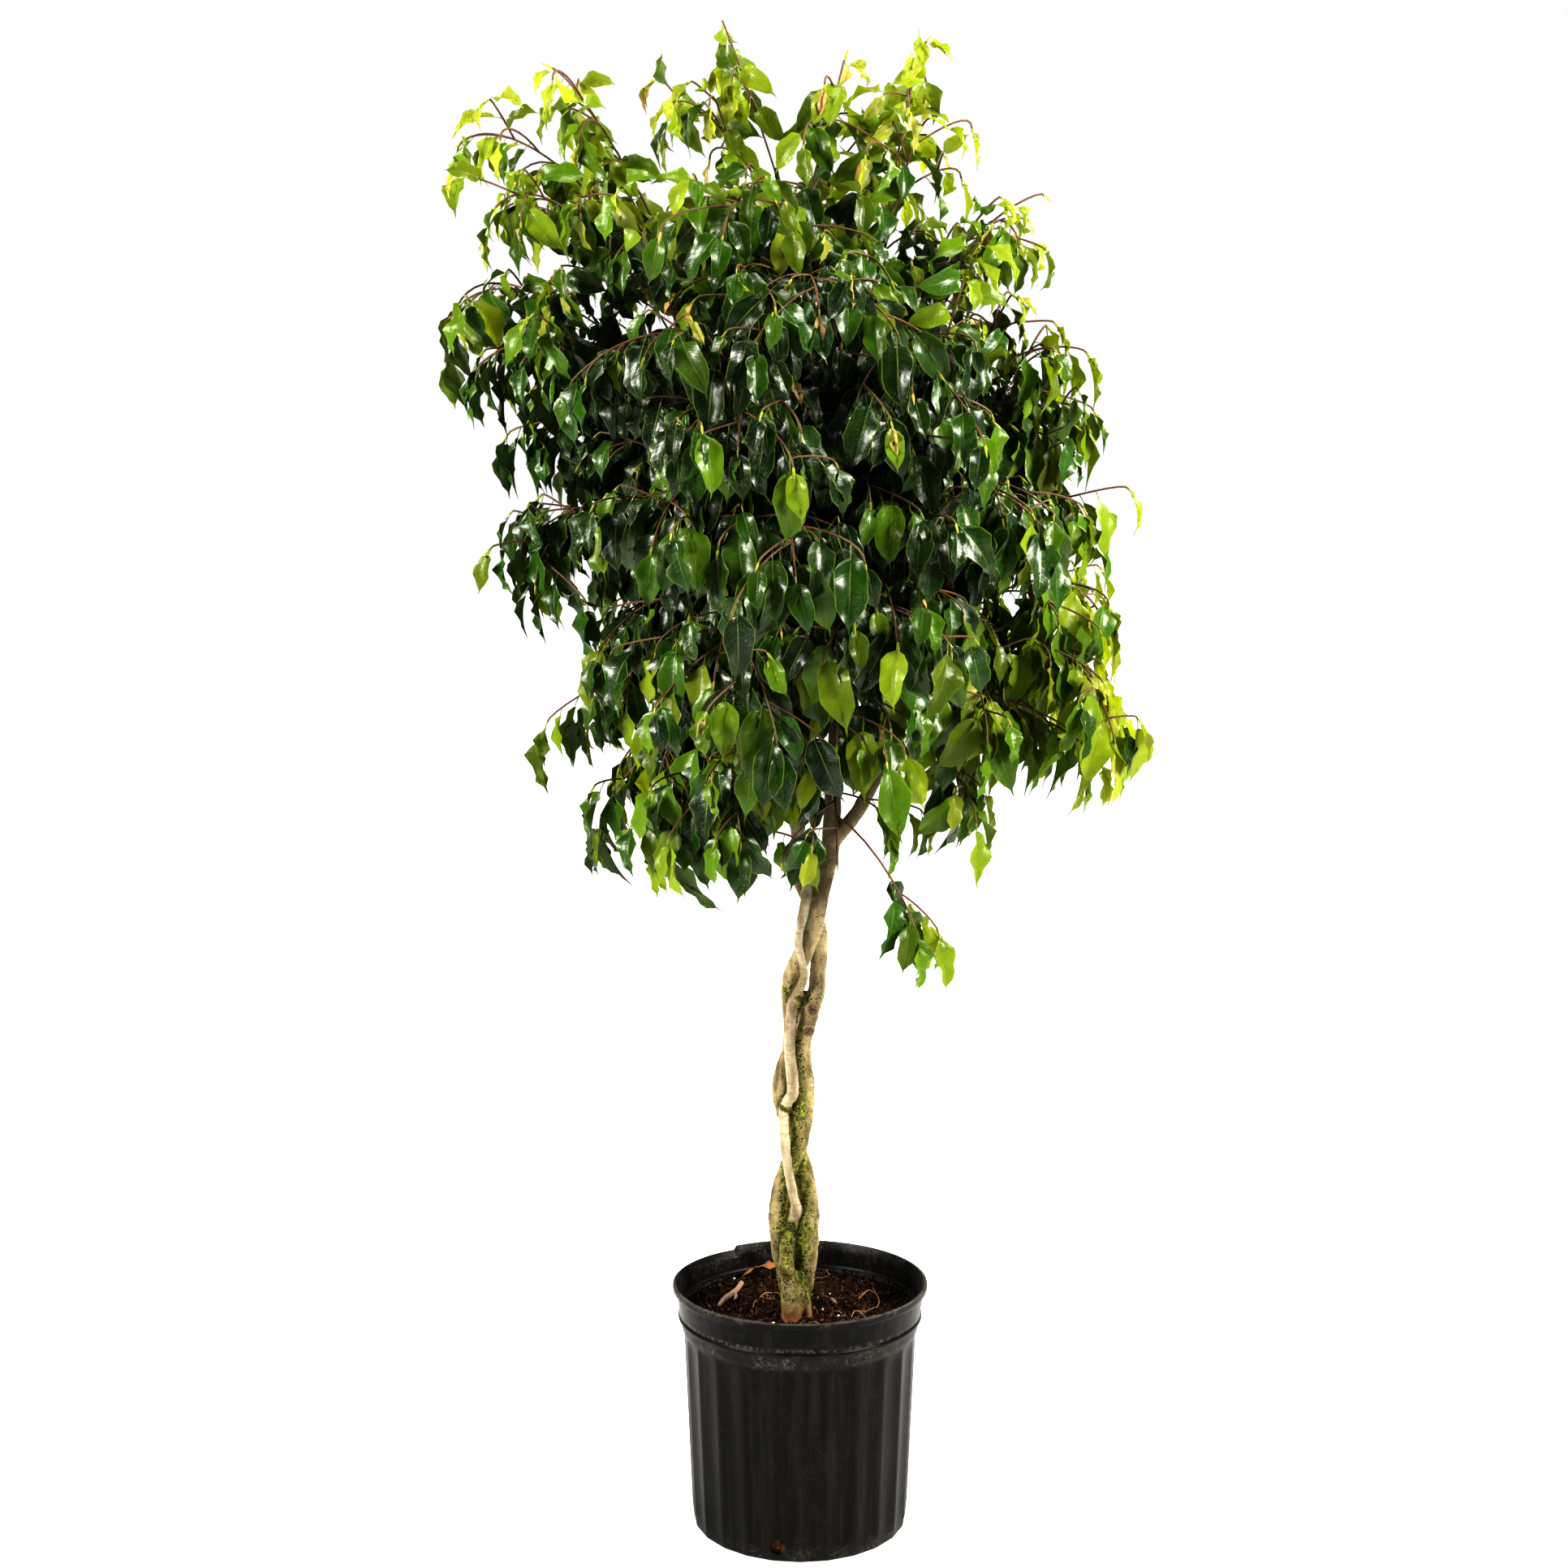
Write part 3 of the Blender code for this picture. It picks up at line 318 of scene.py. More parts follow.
# Boxes in millimetres with the share of their leaves that is left out
OPEN_PLACES = [
    ((15, -400, 670), (80, 400, 800), 0.9), ((-30, -400, 640), (20, 400, 692), 0.8),
    ((-10, -220, 800), (90, 400, 905), 0.6), ((-10, -400, 800), (90, -220, 905), 0.35),
    ((-400, -400, 1458), (-85, 400, 1520), 0.95), ((-400, -400, 1180), (-60, 400, 1440), 0.22),
    ((150, -400, 900), (400, 400, 1500), 0.25), ((-60, -400, 1330), (400, 400, 1500), 0.25),
]
FILL_SPRAYS = [
    (1035, (98, -215, 1096)), (1060, (140, -150, 1110)), (1015, (60, -235, 1050)), (1130, (40, -160, 1190)),
    (1080, (-60, -200, 1130)), (1000, (150, -170, 1010)), (1180, (-110, -120, 1240)),
    (1050, (-150, -130, 1080)),
]
INNER_SEED = 1500
INNER_STEP = 27
INNER_FOOT = 930
INNER_TOP = 1270
INNER_PAST_FOOT = 40
INNER_BELOW_TOP = 60
INNER_TURN = 2.4
INNER_REACH = (80, 200)

# Bits that lie on the soil; crumbs as name, shapes, unevenness, density, sizes, dark and light colour, seed
CRUMBS = [
    ("soil_crumb", "soil_crumbs", [(1.0, 0.8, 0.7), (1.0, 1.0, 0.6), (0.8, 0.7, 0.9)], 0.30, 52000, 1.8, 7.0,
     (0.0025, 0.0015, 0.001), (0.042, 0.018, 0.008), 2),
    ("bark_fine", "bark_fines", [(1.5, 0.5, 0.25), (1.2, 0.7, 0.3), (2.8, 0.28, 0.2)], 0.22, 15000, 1.2, 5.6,
     (0.024, 0.011, 0.006), (0.220, 0.118, 0.060), 3),
    ("perlite_bead", "perlite", [(1.0, 0.9, 0.8), (0.9, 0.8, 0.9)], 0.16, 700, 0.9, 2.4,
     (0.420, 0.400, 0.360), (0.800, 0.780, 0.740), 4),
]
FALLEN_LEAF_PLACE = (-14 * MM, 93 * MM, 0.0)
FALLEN_LEAF_TURN = math.radians(96)
FALLEN_LEAF_LENGTH = 46 * MM
FALLEN_LEAF_VARIANT = 6
FALLEN_LEAF_LIFT = 1.5 * MM
LOOSE_ROOTS = 34
ROOT_SPREAD = 0.112
ROOT_STEP = 3.2
ROOT_LIFT = 1.3 * MM
ROOT_WAVE = 1.1 * MM
ROOT_ROUTES = [
    [(61, 30), (68, 48), (73, 54), (79, 46), (82, 25), (80, 10), (76, 2), (65, -8), (56, -10), (52, -23)],
    [(-29, 46), (-36, 38), (-43, 31), (-46, 20), (-48, 2)], [(-100, -20), (-92, -13), (-89, -5), (-96, 18)],
]
ROOT_THICKNESS = 0.7
LITTER_LIFT = 1.6 * MM
# Litter, as (x, y), size, turn, tone
LITTER = [
    ((-27, -43), (2.2, 1.5, 3.0), 0.2, 1.0), ((35, 21), (2.6, 11.0, 1.6), 0.25, 0.15),
    ((-69, 94), (1.5, 1.5, 1.4), 0.0, 1.0), ((23, -9), (1.4, 1.3, 1.2), 0.0, 1.0),
    ((39, -22), (1.2, 1.2, 1.1), 0.0, 0.9), ((-63, -40), (1.1, 1.3, 1.0), 0.0, 0.6),
]
FALLEN_TWIG = [
    (-83, 5, 1.8), (-78, 19, 2.8), (-71, 35, 3), (-66, 47, 2.8), (-63, 60, 2.6), (-61, 69, 3),
]
FALLEN_TWIG_FORK = [(-68, 42, 2.2), (-66, 33, 1.9), (-67, 25, 1.3)]
FALLEN_TWIG_LIFT = 1.2
FALLEN_TWIG_SIDES = 14


def unit(value):
    """A number kept between 0 and 1."""
    return min(1.0, max(0.0, value))


def units(values):
    """Numbers kept between 0 and 1."""
    return np.clip(values, 0.0, 1.0)


def turns(sides):
    """The angles of a ring's corners."""
    return [math.tau * side / sides for side in range(sides)]


def spot_round(radius, turn, height=0.0):
    """The point at a radius and an angle round the pot's axis."""
    return Vector((radius * math.cos(turn), radius * math.sin(turn), height))


def link(item):
    """Put an object in the scene."""
    bpy.context.scene.collection.objects.link(item)
    return item


def mesh_object(name, shape, smooth=True):
    """A mesh object from a bmesh, which is freed."""
    mesh = bpy.data.meshes.new(name)
    bmesh.ops.recalc_face_normals(shape, faces=shape.faces)
    shape.to_mesh(mesh)
    shape.free()
    if smooth:
        mesh.shade_smooth()
    return bpy.data.objects.new(name, mesh)


def evaluated_copy(item, name):
    """A plain mesh object of an object's evaluated shape; the object itself is removed."""
    bpy.context.view_layer.update()
    evaluated = item.evaluated_get(bpy.context.evaluated_depsgraph_get())
    mesh = bpy.data.meshes.new_from_object(evaluated)
    mesh.name = name
    bpy.data.objects.remove(item, do_unlink=True)
    return link(bpy.data.objects.new(name, mesh))


def drop_collection(collection):
    """Remove a collection and its objects."""
    for item in list(collection.objects):
        bpy.data.objects.remove(item, do_unlink=True)
    bpy.data.collections.remove(collection)


def settle_piece(piece, slot, *nodes, finish=None):
    """Wear a finish, ride on the only body, and stand for CAD nodes; the slot argument is not used."""
    if finish:
        piece.data.materials.clear()
        piece.data.materials.append(finish)
    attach(piece, "root")
    if nodes:
        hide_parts(*nodes)


def float_attribute(mesh, name, values):
    """Store one number for each vertex."""
    layer = mesh.attributes.new(name, "FLOAT", "POINT")
    layer.data.foreach_set("value", np.asarray(values, dtype=np.float32))


def skin(shape, rings):
    """Faces from each ring of corners to the next."""
    faces = []
    for near, far in zip(rings, rings[1:]):
        for corners in zip(near, near[1:] + near[:1], far[1:] + far[:1], far):
            faces.append(shape.faces.new(corners))
    return faces


def fan(shape, ring, pole):
    """Faces from a ring of corners to a pole."""
    for first, second in zip(ring, ring[1:] + ring[:1]):
        shape.faces.new((pole, first, second))


def frames(points, across):
    """Each point of a path with two directions across it that turn as little as they can."""
    for number, point in enumerate(points):
        ahead = (points[min(number + 1, len(points) - 1)] - points[max(number - 1, 0)]).normalized()
        across = (across - ahead * across.dot(ahead)).normalized()
        yield point, across, ahead.cross(across)


def feed(tree, socket, value):
    """Link outputs to an input, or set its own value."""
    value = value.socket if isinstance(value, Value) else value
    if isinstance(value, bpy.types.NodeSocket):
        tree.links.new(value, socket)
    elif isinstance(value, list):
        for output in value:
            tree.links.new(output, socket)
    else:
        socket.default_value = (*value, 1.0) if socket.type == "RGBA" else value


def add_node(tree, kind, inputs=(), **settings):
    """Add a node with its settings and inputs; gives its outputs."""
    node = tree.nodes.new(kind)
    for name, value in settings.items():
        setattr(node, name, value)
    for key, value in dict(inputs).items():
        feed(tree, node.inputs[key], value)
    return node.outputs


class Value:
    """A number or colour in a material; what is done to it adds nodes."""

    def __init__(self, finish, socket):
        self.finish = finish
        self.socket = socket

    def maths(self, operation, other=0.0, clamp=False):
        """One step of arithmetic."""
        return self.finish.add("Math", 0, {0: self, 1: other}, operation=operation, use_clamp=clamp)

    def __add__(self, other):
        return self.maths("ADD", other)

    def __sub__(self, other):
        return self.maths("SUBTRACT", other)

    def __mul__(self, other):
        return self.maths("MULTIPLY", other)

    def span(self, low, high, start=0.0, end=1.0):
        """The range from low to high mapped smoothly onto another, clamped."""
        inputs = {"Value": self, "From Min": low, "From Max": high, "To Min": start, "To Max": end}
        return self.finish.add("MapRange", "Result", inputs, interpolation_type="SMOOTHSTEP")

    def between(self, first, second):
        """A mix of two colours, the second one by this share."""
        return self.finish.add("Mix", 2, {0: self, 6: first, 7: second}, data_type="RGBA")

    def ramp(self, *stops):
        """Colours along the value, as (position, colour) stops."""
        colour = self.finish.add("ValToRGB", "Color", {0: self})
        elements = colour.socket.node.color_ramp.elements
        while len(elements) < len(stops):
            elements.new(0.5)
        for element, (position, shade) in zip(elements, stops):
            element.position = position
            element.color = (*shade, 1.0)
        return colour


class Finish:
    """One material's nodes, added step by step."""

    def __init__(self, name, specular=0.5):
        self.material = bpy.data.materials.new(name)
        self.material.use_nodes = True
        self.tree = self.material.node_tree
        self.shader = self.tree.nodes["Principled BSDF"]
        self.set("Specular IOR Level", specular)
        self.place = self.add("TexCoord", "Object")

    def set(self, name, value):
        """Feed one of the shader's inputs."""
        feed(self.tree, self.shader.inputs[name], value)

    def add(self, kind, output, inputs=(), **settings):
        """Add a node; gives one of its outputs."""
        return Value(self, add_node(self.tree, "ShaderNode" + kind, inputs, **settings)[output])

    def stretched(self, tall, wide=1.0):
        """Object coordinates scaled upward and sideways."""
        return self.add("Mapping", "Vector", {"Vector": self.place, "Scale": (wide, wide, tall)})

    def axis(self, name, vector=None):
        """One of the object coordinates, or of another vector's."""
        return self.add("SeparateXYZ", name, {"Vector": vector or self.place})

    def length(self, vector):
        """A vector's length."""
        return self.add("VectorMath", "Value", {0: vector}, operation="LENGTH")

    def attribute(self, name):
        """A number stored on the mesh."""
        return self.add("Attribute", "Fac", attribute_name=name)

    def leaf_map(self):
        """How far out from the midrib and how far along the blade a place is, from 0 to 1."""
        place = self.add("UVMap", "UV", uv_map="leaf_uv")
        return (self.axis("X", place) - 0.5).maths("ABSOLUTE") * 2.0, self.axis("Y", place)

    def cloud(self, scale, detail=3.0, roughness=0.55, place=None):
        """Noise from 0 to 1."""
        inputs = {"Vector": place or self.place, "Scale": scale, "Detail": detail, "Roughness": roughness}
        return self.add("TexNoise", "Fac", inputs)

    def dots(self, scale, tall=1.0):
        """Distance to the nearest of many scattered points."""
        return self.add("TexVoronoi", "Distance", {"Vector": self.stretched(tall), "Scale": scale})

    def bump(self, height, distance, strength=1.0):
        """Tilt the shading by a height."""
        inputs = {"Height": height, "Distance": distance, "Strength": strength}
        normal = self.add("Bump", "Normal", inputs)
        self.set("Normal", normal)
        return normal

    def paint(self, colour, roughness):
        """Feed the shader's colour and roughness; gives the material."""
        self.set("Base Color", colour)
        self.set("Roughness", roughness)
        return self.material


def leaf_colour(finish, youth_and_painted_light, across, along, veins, underside):
    """The blade's colour: green by age and painted light, with pale midrib, veins, margin and a paler
    underside.
    """
    green = youth_and_painted_light.ramp(
        (0.0, (0.006, 0.021, 0.0015)), (0.25, (0.03, 0.098, 0.002)), (0.46, (0.158, 0.285, 0.008)),
        (0.72, (0.44, 0.525, 0.045)), (0.88, (0.64, 0.61, 0.15)), (0.96, (0.9, 0.66, 0.36)),
    )
    green = finish.attribute("tone").span(0.3, 1.0, 0.0, 0.66).between(green, (0.005, 0.022, 0.004))
    blotch = finish.cloud(55, 2).span(0.4, 0.75, 0.0, 0.22) * youth_and_painted_light.span(0.0, 0.35, 0.3, 1.0)
    green = blotch.between(green, (0.09, 0.2, 0.02))
    green = veins.span(0.06, 0.0, 0.0, 0.08).between(green, (0.2, 0.33, 0.08))
    rib = across.span(0.07, 0.01) * along.span(1.0, 0.1, 0.1, 0.55)
    green = rib.between(green, (0.3, 0.4, 0.09))
    green = across.span(0.9, 0.99, 0.0, 0.42).between(green, (0.33, 0.42, 0.08))
    fleck = finish.cloud(950, 2, 0.7).span(0.54, 0.66) * finish.cloud(26, 1).span(0.46, 0.62)
    fleck = fleck * youth_and_painted_light.span(0.55, 0.15, 0.0, 0.34)
    green = fleck.between(green, (0.38, 0.47, 0.33))
    return (underside * 0.42).between(green, (0.17, 0.27, 0.08))


def leaf_finish():
    """Waxy leaf: glossy above, paler and duller below, glowing where light comes through."""
    finish = Finish("fig_leaf", 0.42)
    across, along = finish.leaf_map()
    # The leaf's age with painted light: lighter high up, low down and at the sides, darker in the crown's
    # middle.
    youth_and_painted_light = finish.attribute("youth_and_painted_light")
    underside = finish.attribute("underside")
    veins = (along * 11.0 + across * -1.6).maths("PINGPONG", 0.5)
    colour = leaf_colour(finish, youth_and_painted_light, across, along, veins, underside)
    finish.paint(colour, finish.cloud(240, 2).span(0.35, 0.7, 0.26, 0.38) + underside * 0.2)
    ridge = veins.span(0.16, 0.0, 0.0, 0.5) + across.span(0.12, 0.0, 0.0, 0.9) + finish.cloud(120, 2)
    normal = finish.bump(ridge, 0.2 * MM, 0.5)
    lit = youth_and_painted_light.span(0.0, 0.8, 0.12, 0.9).between(colour, (0.69, 0.76, 0.075))
    lit = youth_and_painted_light.span(0.89, 0.95).between(lit, (0.95, 0.72, 0.4))
    glow = finish.add("BsdfTranslucent", 0, {"Color": lit, "Normal": normal})
    share = youth_and_painted_light.span(0.1, 0.9, 0.06, 0.62)
    both = finish.add("MixShader", 0, {0: share, 1: finish.shader.outputs[0], 2: glow})
    feed(finish.tree, finish.tree.nodes["Material Output"].inputs["Surface"], both)
    return finish.material


def twig_finish():
    """Thin branches: tan-grey where thick, red-brown where thin, greenish at the ends."""
    finish = Finish("fig_twig")
    girth = finish.attribute("girth")
    patch = finish.cloud(130)
    brown = patch.between((0.08, 0.032, 0.015), (0.23, 0.105, 0.05))
    grey = patch.between((0.12, 0.085, 0.05), (0.26, 0.205, 0.135))
    colour = girth.span(1.5, 3.0).between(brown, grey)
    colour = girth.span(0.66, 0.56, 0.0, 0.5).between(colour, (0.15, 0.15, 0.03))
    warts = finish.dots(420).span(0.3, 0.12, 0.0, 0.7)
    finish.bump(finish.cloud(500), 0.25 * MM)
    return finish.paint(warts.between(colour, (0.26, 0.19, 0.12)), 0.62)


def bark_finish():
    """Smooth pale bark with dark flecks, green algae low down and painted shade in the creases."""
    finish = Finish("fig_bark", 0.25)
    cloud = finish.cloud
    moss = finish.attribute("moss")
    pale = finish.attribute("pale")
    along = finish.stretched(0.35)
    rings = finish.stretched(6.0)
    tan = cloud(75, 4, place=along).span(0.36, 0.6).between((0.115, 0.085, 0.037), (0.43, 0.35, 0.206))
    chalk = cloud(60, 4, place=along).span(0.3, 0.6).between((0.24, 0.186, 0.112), (0.55, 0.474, 0.355))
    colour = pale.between(tan, chalk)
    streak = cloud(60, 5, 0.65, rings).span(0.5, 0.68, 0.0, 0.5)
    colour = streak.between(colour, (0.2, 0.135, 0.065))
    damp = cloud(48, 6, 0.68)
    colour = (moss * 0.62).between(colour, (0.29, 0.262, 0.085))
    algae = (damp + moss * 0.55).span(0.64, 0.96)
    shades = ((0.36, (0.022, 0.026, 0.004)), (0.48, (0.105, 0.12, 0.012)), (0.6, (0.33, 0.34, 0.06)))
    colour = (algae * 0.88).between(colour, cloud(240, 5, 0.72).ramp(*shades))
    speck = finish.dots(330, 1.2).maths("LESS_THAN", cloud(90).span(0.36, 0.58) * 0.38)
    colour = (speck * moss.span(0.1, 0.5)).between(colour, (0.014, 0.016, 0.005))
    fleck = finish.dots(330, 1.5).maths("LESS_THAN", cloud(36).span(0.42, 0.64, 0.0, 0.34))
    fleck = fleck * pale.span(0.2, 0.9, 0.85, 0.12)
    colour = fleck.between(colour, (0.045, 0.034, 0.014))
    # Painted shade: near black where the stems meet and in the hollows between them.
    colour = (finish.attribute("painted_crease_shade") * 0.97).between(colour, (0.012, 0.011, 0.004))
    earthy = cloud(160).between((0.11, 0.048, 0.024), (0.42, 0.22, 0.11))
    colour = finish.attribute("foot").between(colour, earthy)
    wood = cloud(40, 4, place=rings).between((0.05, 0.03, 0.016), (0.23, 0.16, 0.095))
    colour = finish.attribute("upper").between(colour, wood)
    finish.bump(cloud(95, 5, 0.65, rings) + cloud(420, 4, 0.65) - fleck * 0.35, 0.8 * MM)
    return finish.paint(colour, damp.span(0.3, 0.7, 0.55, 0.8))


def scar_finish():
    """Old cut: dark red-brown middle in a pale corky collar."""
    finish = Finish("cut_scar")
    cork = finish.cloud(420, 4, 0.7)
    rim = cork.between((0.11, 0.08, 0.036), (0.43, 0.33, 0.18))
    middle = cork.span(0.35, 0.65).between((0.04, 0.02, 0.012), (0.26, 0.16, 0.1))
    finish.bump(cork, 1.2 * MM)
    ragged = finish.attribute("inward") + cork * 0.35
    return finish.paint(ragged.span(0.28, 0.5).between(rim, middle), 0.75)


def can_finish():
    """Black moulded plastic, dusty on its lip and shoulder, scuffed inside, its rib crests lighter by wear
    and painted sheen, and a painted highlight along the lip's top edge.
    """
    finish = Finish("nursery_can", 0.12)
    cloud = finish.cloud
    height = finish.axis("Z")
    radius = finish.length(finish.stretched(0.0))
    grime = cloud(30, 6, 0.72)
    fine = cloud(340, 4, 0.7)
    drips = cloud(120, 4, 0.62, finish.stretched(0.05))
    shoulder = height.span(0.199, 0.207) * height.span(0.222, 0.214)
    skirt = height.span(0.02, 0.003, 0.0, 0.6)
    rim = height.span(0.247, 0.253, 0.0, 0.8)
    worn = (shoulder + skirt).maths("ADD", rim, clamp=True)
    patchy = grime.span(0.44, 0.62) * fine.span(0.4, 0.66)
    dust = worn.maths("MULTIPLY", patchy * 0.9 + 0.08, clamp=True)
    haze = grime.span(0.5, 0.72) * fine.span(0.45, 0.7, 0.2, 1.0)
    # Rib crests a little lighter: wear, and painted sheen.
    crest_wear_and_sheen = (radius - height * 0.0426).span(0.1088, 0.11) * height.span(0.2, 0.195)
    dust_grime_and_crest_sheen = (haze * 0.15).maths("ADD", dust * 0.85, clamp=True).maths("ADD", crest_wear_and_sheen * 0.035, clamp=True)
    colour = dust_grime_and_crest_sheen.between((0.0052, 0.0049, 0.0046), (0.155, 0.142, 0.124))
    inside = (radius - height * 0.13).span(0.0934, 0.0931) * height.span(0.221, 0.223)
    scratches = (cloud(190, 5, 0.7) - 0.5).maths("ABSOLUTE").span(0.035, 0.008) * grime.span(0.42, 0.6)
    scuffed = inside * height.span(0.228, 0.246, 0.15, 1.0) * scratches
    colour = (scuffed * 0.7).between(colour, (0.13, 0.125, 0.118))
    seam = height.span(0.2215, 0.2232) * height.span(0.2275, 0.224) * cloud(210, 5, 0.75).span(0.46, 0.6)
    colour = (seam * 0.5).between(colour, (0.17, 0.155, 0.135))
    # Painted highlight: a lighter line along the top edge of the lip.
    colour = height.span(0.2522, 0.2534, 0.0, 0.6).between(colour, (0.11, 0.104, 0.094))
    line = cloud(4, 3, 0.6, finish.stretched(240, 6)).span(0.64, 0.72) * height.span(0.224, 0.23)
    colour = (line * 0.5).between(colour, (0.11, 0.105, 0.1))
    colour = drips.span(0.48, 0.66, 0.0, 0.75).between(colour, (0.017, 0.0152, 0.0134))
    colour = cloud(760, 2, 0.6).span(0.66, 0.74, 0.0, 0.35).between(colour, (0.11, 0.1, 0.088))
    finish.bump(fine + drips + grime, 0.25 * MM)
    return finish.paint(colour, dust_grime_and_crest_sheen * 0.4 + 0.33)


def soil_finish():
    """Dark potting mix with rusty bark fines."""
    finish = Finish("potting_mix", 0.05)
    coarse = finish.cloud(120, 6, 0.7)
    fine = finish.cloud(480, 4, 0.7)
    shades = ((0.38, (0.0025, 0.0015, 0.001)), (0.56, (0.01, 0.005, 0.003)), (0.7, (0.075, 0.038, 0.018)))
    colour = fine.span(0.6, 0.7, 0.0, 0.6).between(coarse.ramp(*shades), (0.15, 0.082, 0.04))
    rooty = coarse.span(0.42, 0.62).between((0.012, 0.005, 0.003), (0.24, 0.105, 0.05))
    finish.bump(coarse + fine, 1.8 * MM)
    return finish.paint(finish.axis("Z").span(0.2, 0.19, 0.0, 0.8).between(colour, rooty), 0.9)


def crumb_finish(name, dark, light):
    """Loose bits whose tone changes from one to the next."""
    finish = Finish(name, 0.08)
    speckle = finish.cloud(700, 3, 0.7)
    finish.bump(speckle, 0.3 * MM)
    colour = finish.attribute("tone").between(dark, light)
    return finish.paint(speckle.span(0.5, 0.7, 0.0, 0.35).between(colour, dark), 0.8)


def dry_leaf_finish():
    """Dead leaf: rust brown, with a green end and dark blotches."""
    finish = Finish("dry_leaf")
    across, along = finish.leaf_map()
    colour = along.ramp((0.0, (0.3, 0.115, 0.03)), (0.6, (0.35, 0.145, 0.035)),
                        (0.82, (0.26, 0.22, 0.04)), (1.0, (0.1, 0.16, 0.03)))
    blotch = finish.cloud(160, 4, 0.7).span(0.5, 0.66, 0.0, 0.75)
    colour = blotch.between(colour, (0.13, 0.045, 0.018))
    finish.bump(finish.cloud(300), 0.5 * MM)
    return finish.paint(across.span(0.1, 0.02, 0.0, 0.5).between(colour, (0.56, 0.36, 0.15)), 0.55)


def dry_twig_finish():
    """Bare bit of twig, bleached tan with darker ends."""
    finish = Finish("dry_twig")
    grain = finish.cloud(210, 5, 0.65)
    finish.bump(grain, 0.5 * MM)
    return finish.paint(grain.between((0.15, 0.085, 0.05), (0.4, 0.28, 0.19)), 0.7)


def floor_finish():
    """Plain pale studio floor, lit through more and more away from the plant."""
    finish = Finish("studio_floor")
    seen = finish.add("LightPath", "Is Camera Ray")
    lit = finish.axis("Y").span(-0.6, 0.8).maths("MAXIMUM", seen)
    finish.set("Emission Color", WHITE)
    finish.set("Emission Strength", finish.length(finish.place).span(0.2, 2.0, 0.55, 1.2) * lit)
    return finish.paint((0.86, 0.86, 0.86), 0.8)


def leader_station(leader, height):
    """Point and radius of a leader at a height."""
    rows = LEADERS[leader]
    for low, high in zip(rows, rows[1:]):
        if low[2] <= height <= high[2]:
            share = (height - low[2]) / (high[2] - low[2])
            point = Vector(low[:3]).lerp(Vector(high[:3]), share) * MM
            return point, low[3] + (high[3] - low[3]) * share
    return Vector(rows[-1][:3]) * MM, rows[-1][3]


class Route:
    """A path through points, read by the distance along it."""

    def __init__(self, points):
        self.points = points
        self.marks = [0.0]
        for first, second in zip(points, points[1:]):
            self.marks.append(self.marks[-1] + (second - first).length)
        self.length = self.marks[-1]

    def at(self, distance):
        """Point and direction at a distance from the start."""
        number = 1
        while number < len(self.marks) - 1 and distance > self.marks[number]:
            number += 1
        first, second = self.points[number - 1], self.points[number]
        share = (distance - self.marks[number - 1]) / (self.marks[number] - self.marks[number - 1])
        return first.lerp(second, share), (second - first).normalized()


def arch(start, tip, lift, count):
    """Route that rises from its start and arches over to its tip."""
    rise = start.lerp(tip, 0.35) + lift
    fall = start.lerp(tip, 0.8) + lift
    return Route(interpolate_bezier(start, rise, fall, tip, count))


def branch_axis(number):
    """Route of a branch, from its leader up and out in an arch to its drooping tip."""
    leader, height, reach, rise = BRANCHES[number]
    start, _ = leader_station(leader, height)
    reach = Vector(reach) * MM
    level = Vector((reach.x - start.x, reach.y - start.y, 0.0)).normalized()
    return arch(start, reach - level * LEAF_OVERHANG + UP * LEAF_DROP, UP * rise * MM, 25)


def sideways_of(ahead, side):
    """The level direction to one side of a shoot."""
    return ahead.cross(UP).normalized() * side


def grow_twig(point, ahead, side, length, draw):
    """Route of a side twig that leaves its branch sideways and droops."""
    across = sideways_of(ahead, side)
    out = (ahead * 0.6 + across * draw.uniform(0.55, 0.95) + UP * draw.uniform(-0.05, 0.25)).normalized()
    tip = point + out * length * 0.85 - UP * length * draw.uniform(0.25, 0.65)
    return Route(interpolate_bezier(point, point + out * length * 0.4, tip + UP * length * 0.2, tip, 9))


def grow_short_shoot(point, ahead, side, length, draw):
    """Route of a short shoot that rises off its branch before its tip nods."""
    across = sideways_of(ahead, side)
    rise = draw.uniform(-0.15, 0.65) + 0.25 * unit((point.z - 0.9) / 0.4)
    out = (ahead * draw.uniform(0.3, 0.8) + across * draw.uniform(0.3, 0.9) + UP * rise).normalized()
    tip = point + out * length - UP * length * draw.uniform(0.05, 0.35)
    return Route(interpolate_bezier(point, point + out * length * 0.4, tip + UP * length * 0.1, tip, 7))


def place_leaf(point, along, blade, draw):
    """Place, blade length and variant of a leaf that leaves its shoot along a direction."""
    along = (along.normalized() - UP * LEAF_HANG * unit((1.30 - point.z) / 0.2)).normalized()
    outward = Vector((point.x, point.y, 0.0)).normalized()
    face = UP * 0.7 + outward + Vector([draw.uniform(-0.55, 0.55) for _ in range(3)])
    face = (face - along * face.dot(along)).normalized()
    turn = Matrix((along.cross(face), along, face)).transposed()
    level = math.hypot(along.x, along.y)
    bend = min(int(level * len(LEAF_BENDS)), len(LEAF_BENDS) - 1)
    variant = bend * len(LEAF_WAVES) + draw.randrange(len(LEAF_WAVES))
    return Matrix.Translation(point) @ turn.to_4x4(), blade, variant


def side_direction(ahead, side, draw):
    """Direction of a leaf that leaves the side of its shoot and hangs."""
    across = sideways_of(ahead, side)
    return ahead * draw.uniform(0.3, 0.7) + across * draw.uniform(0.4, 0.8) - UP * draw.uniform(0.25, 1.15)


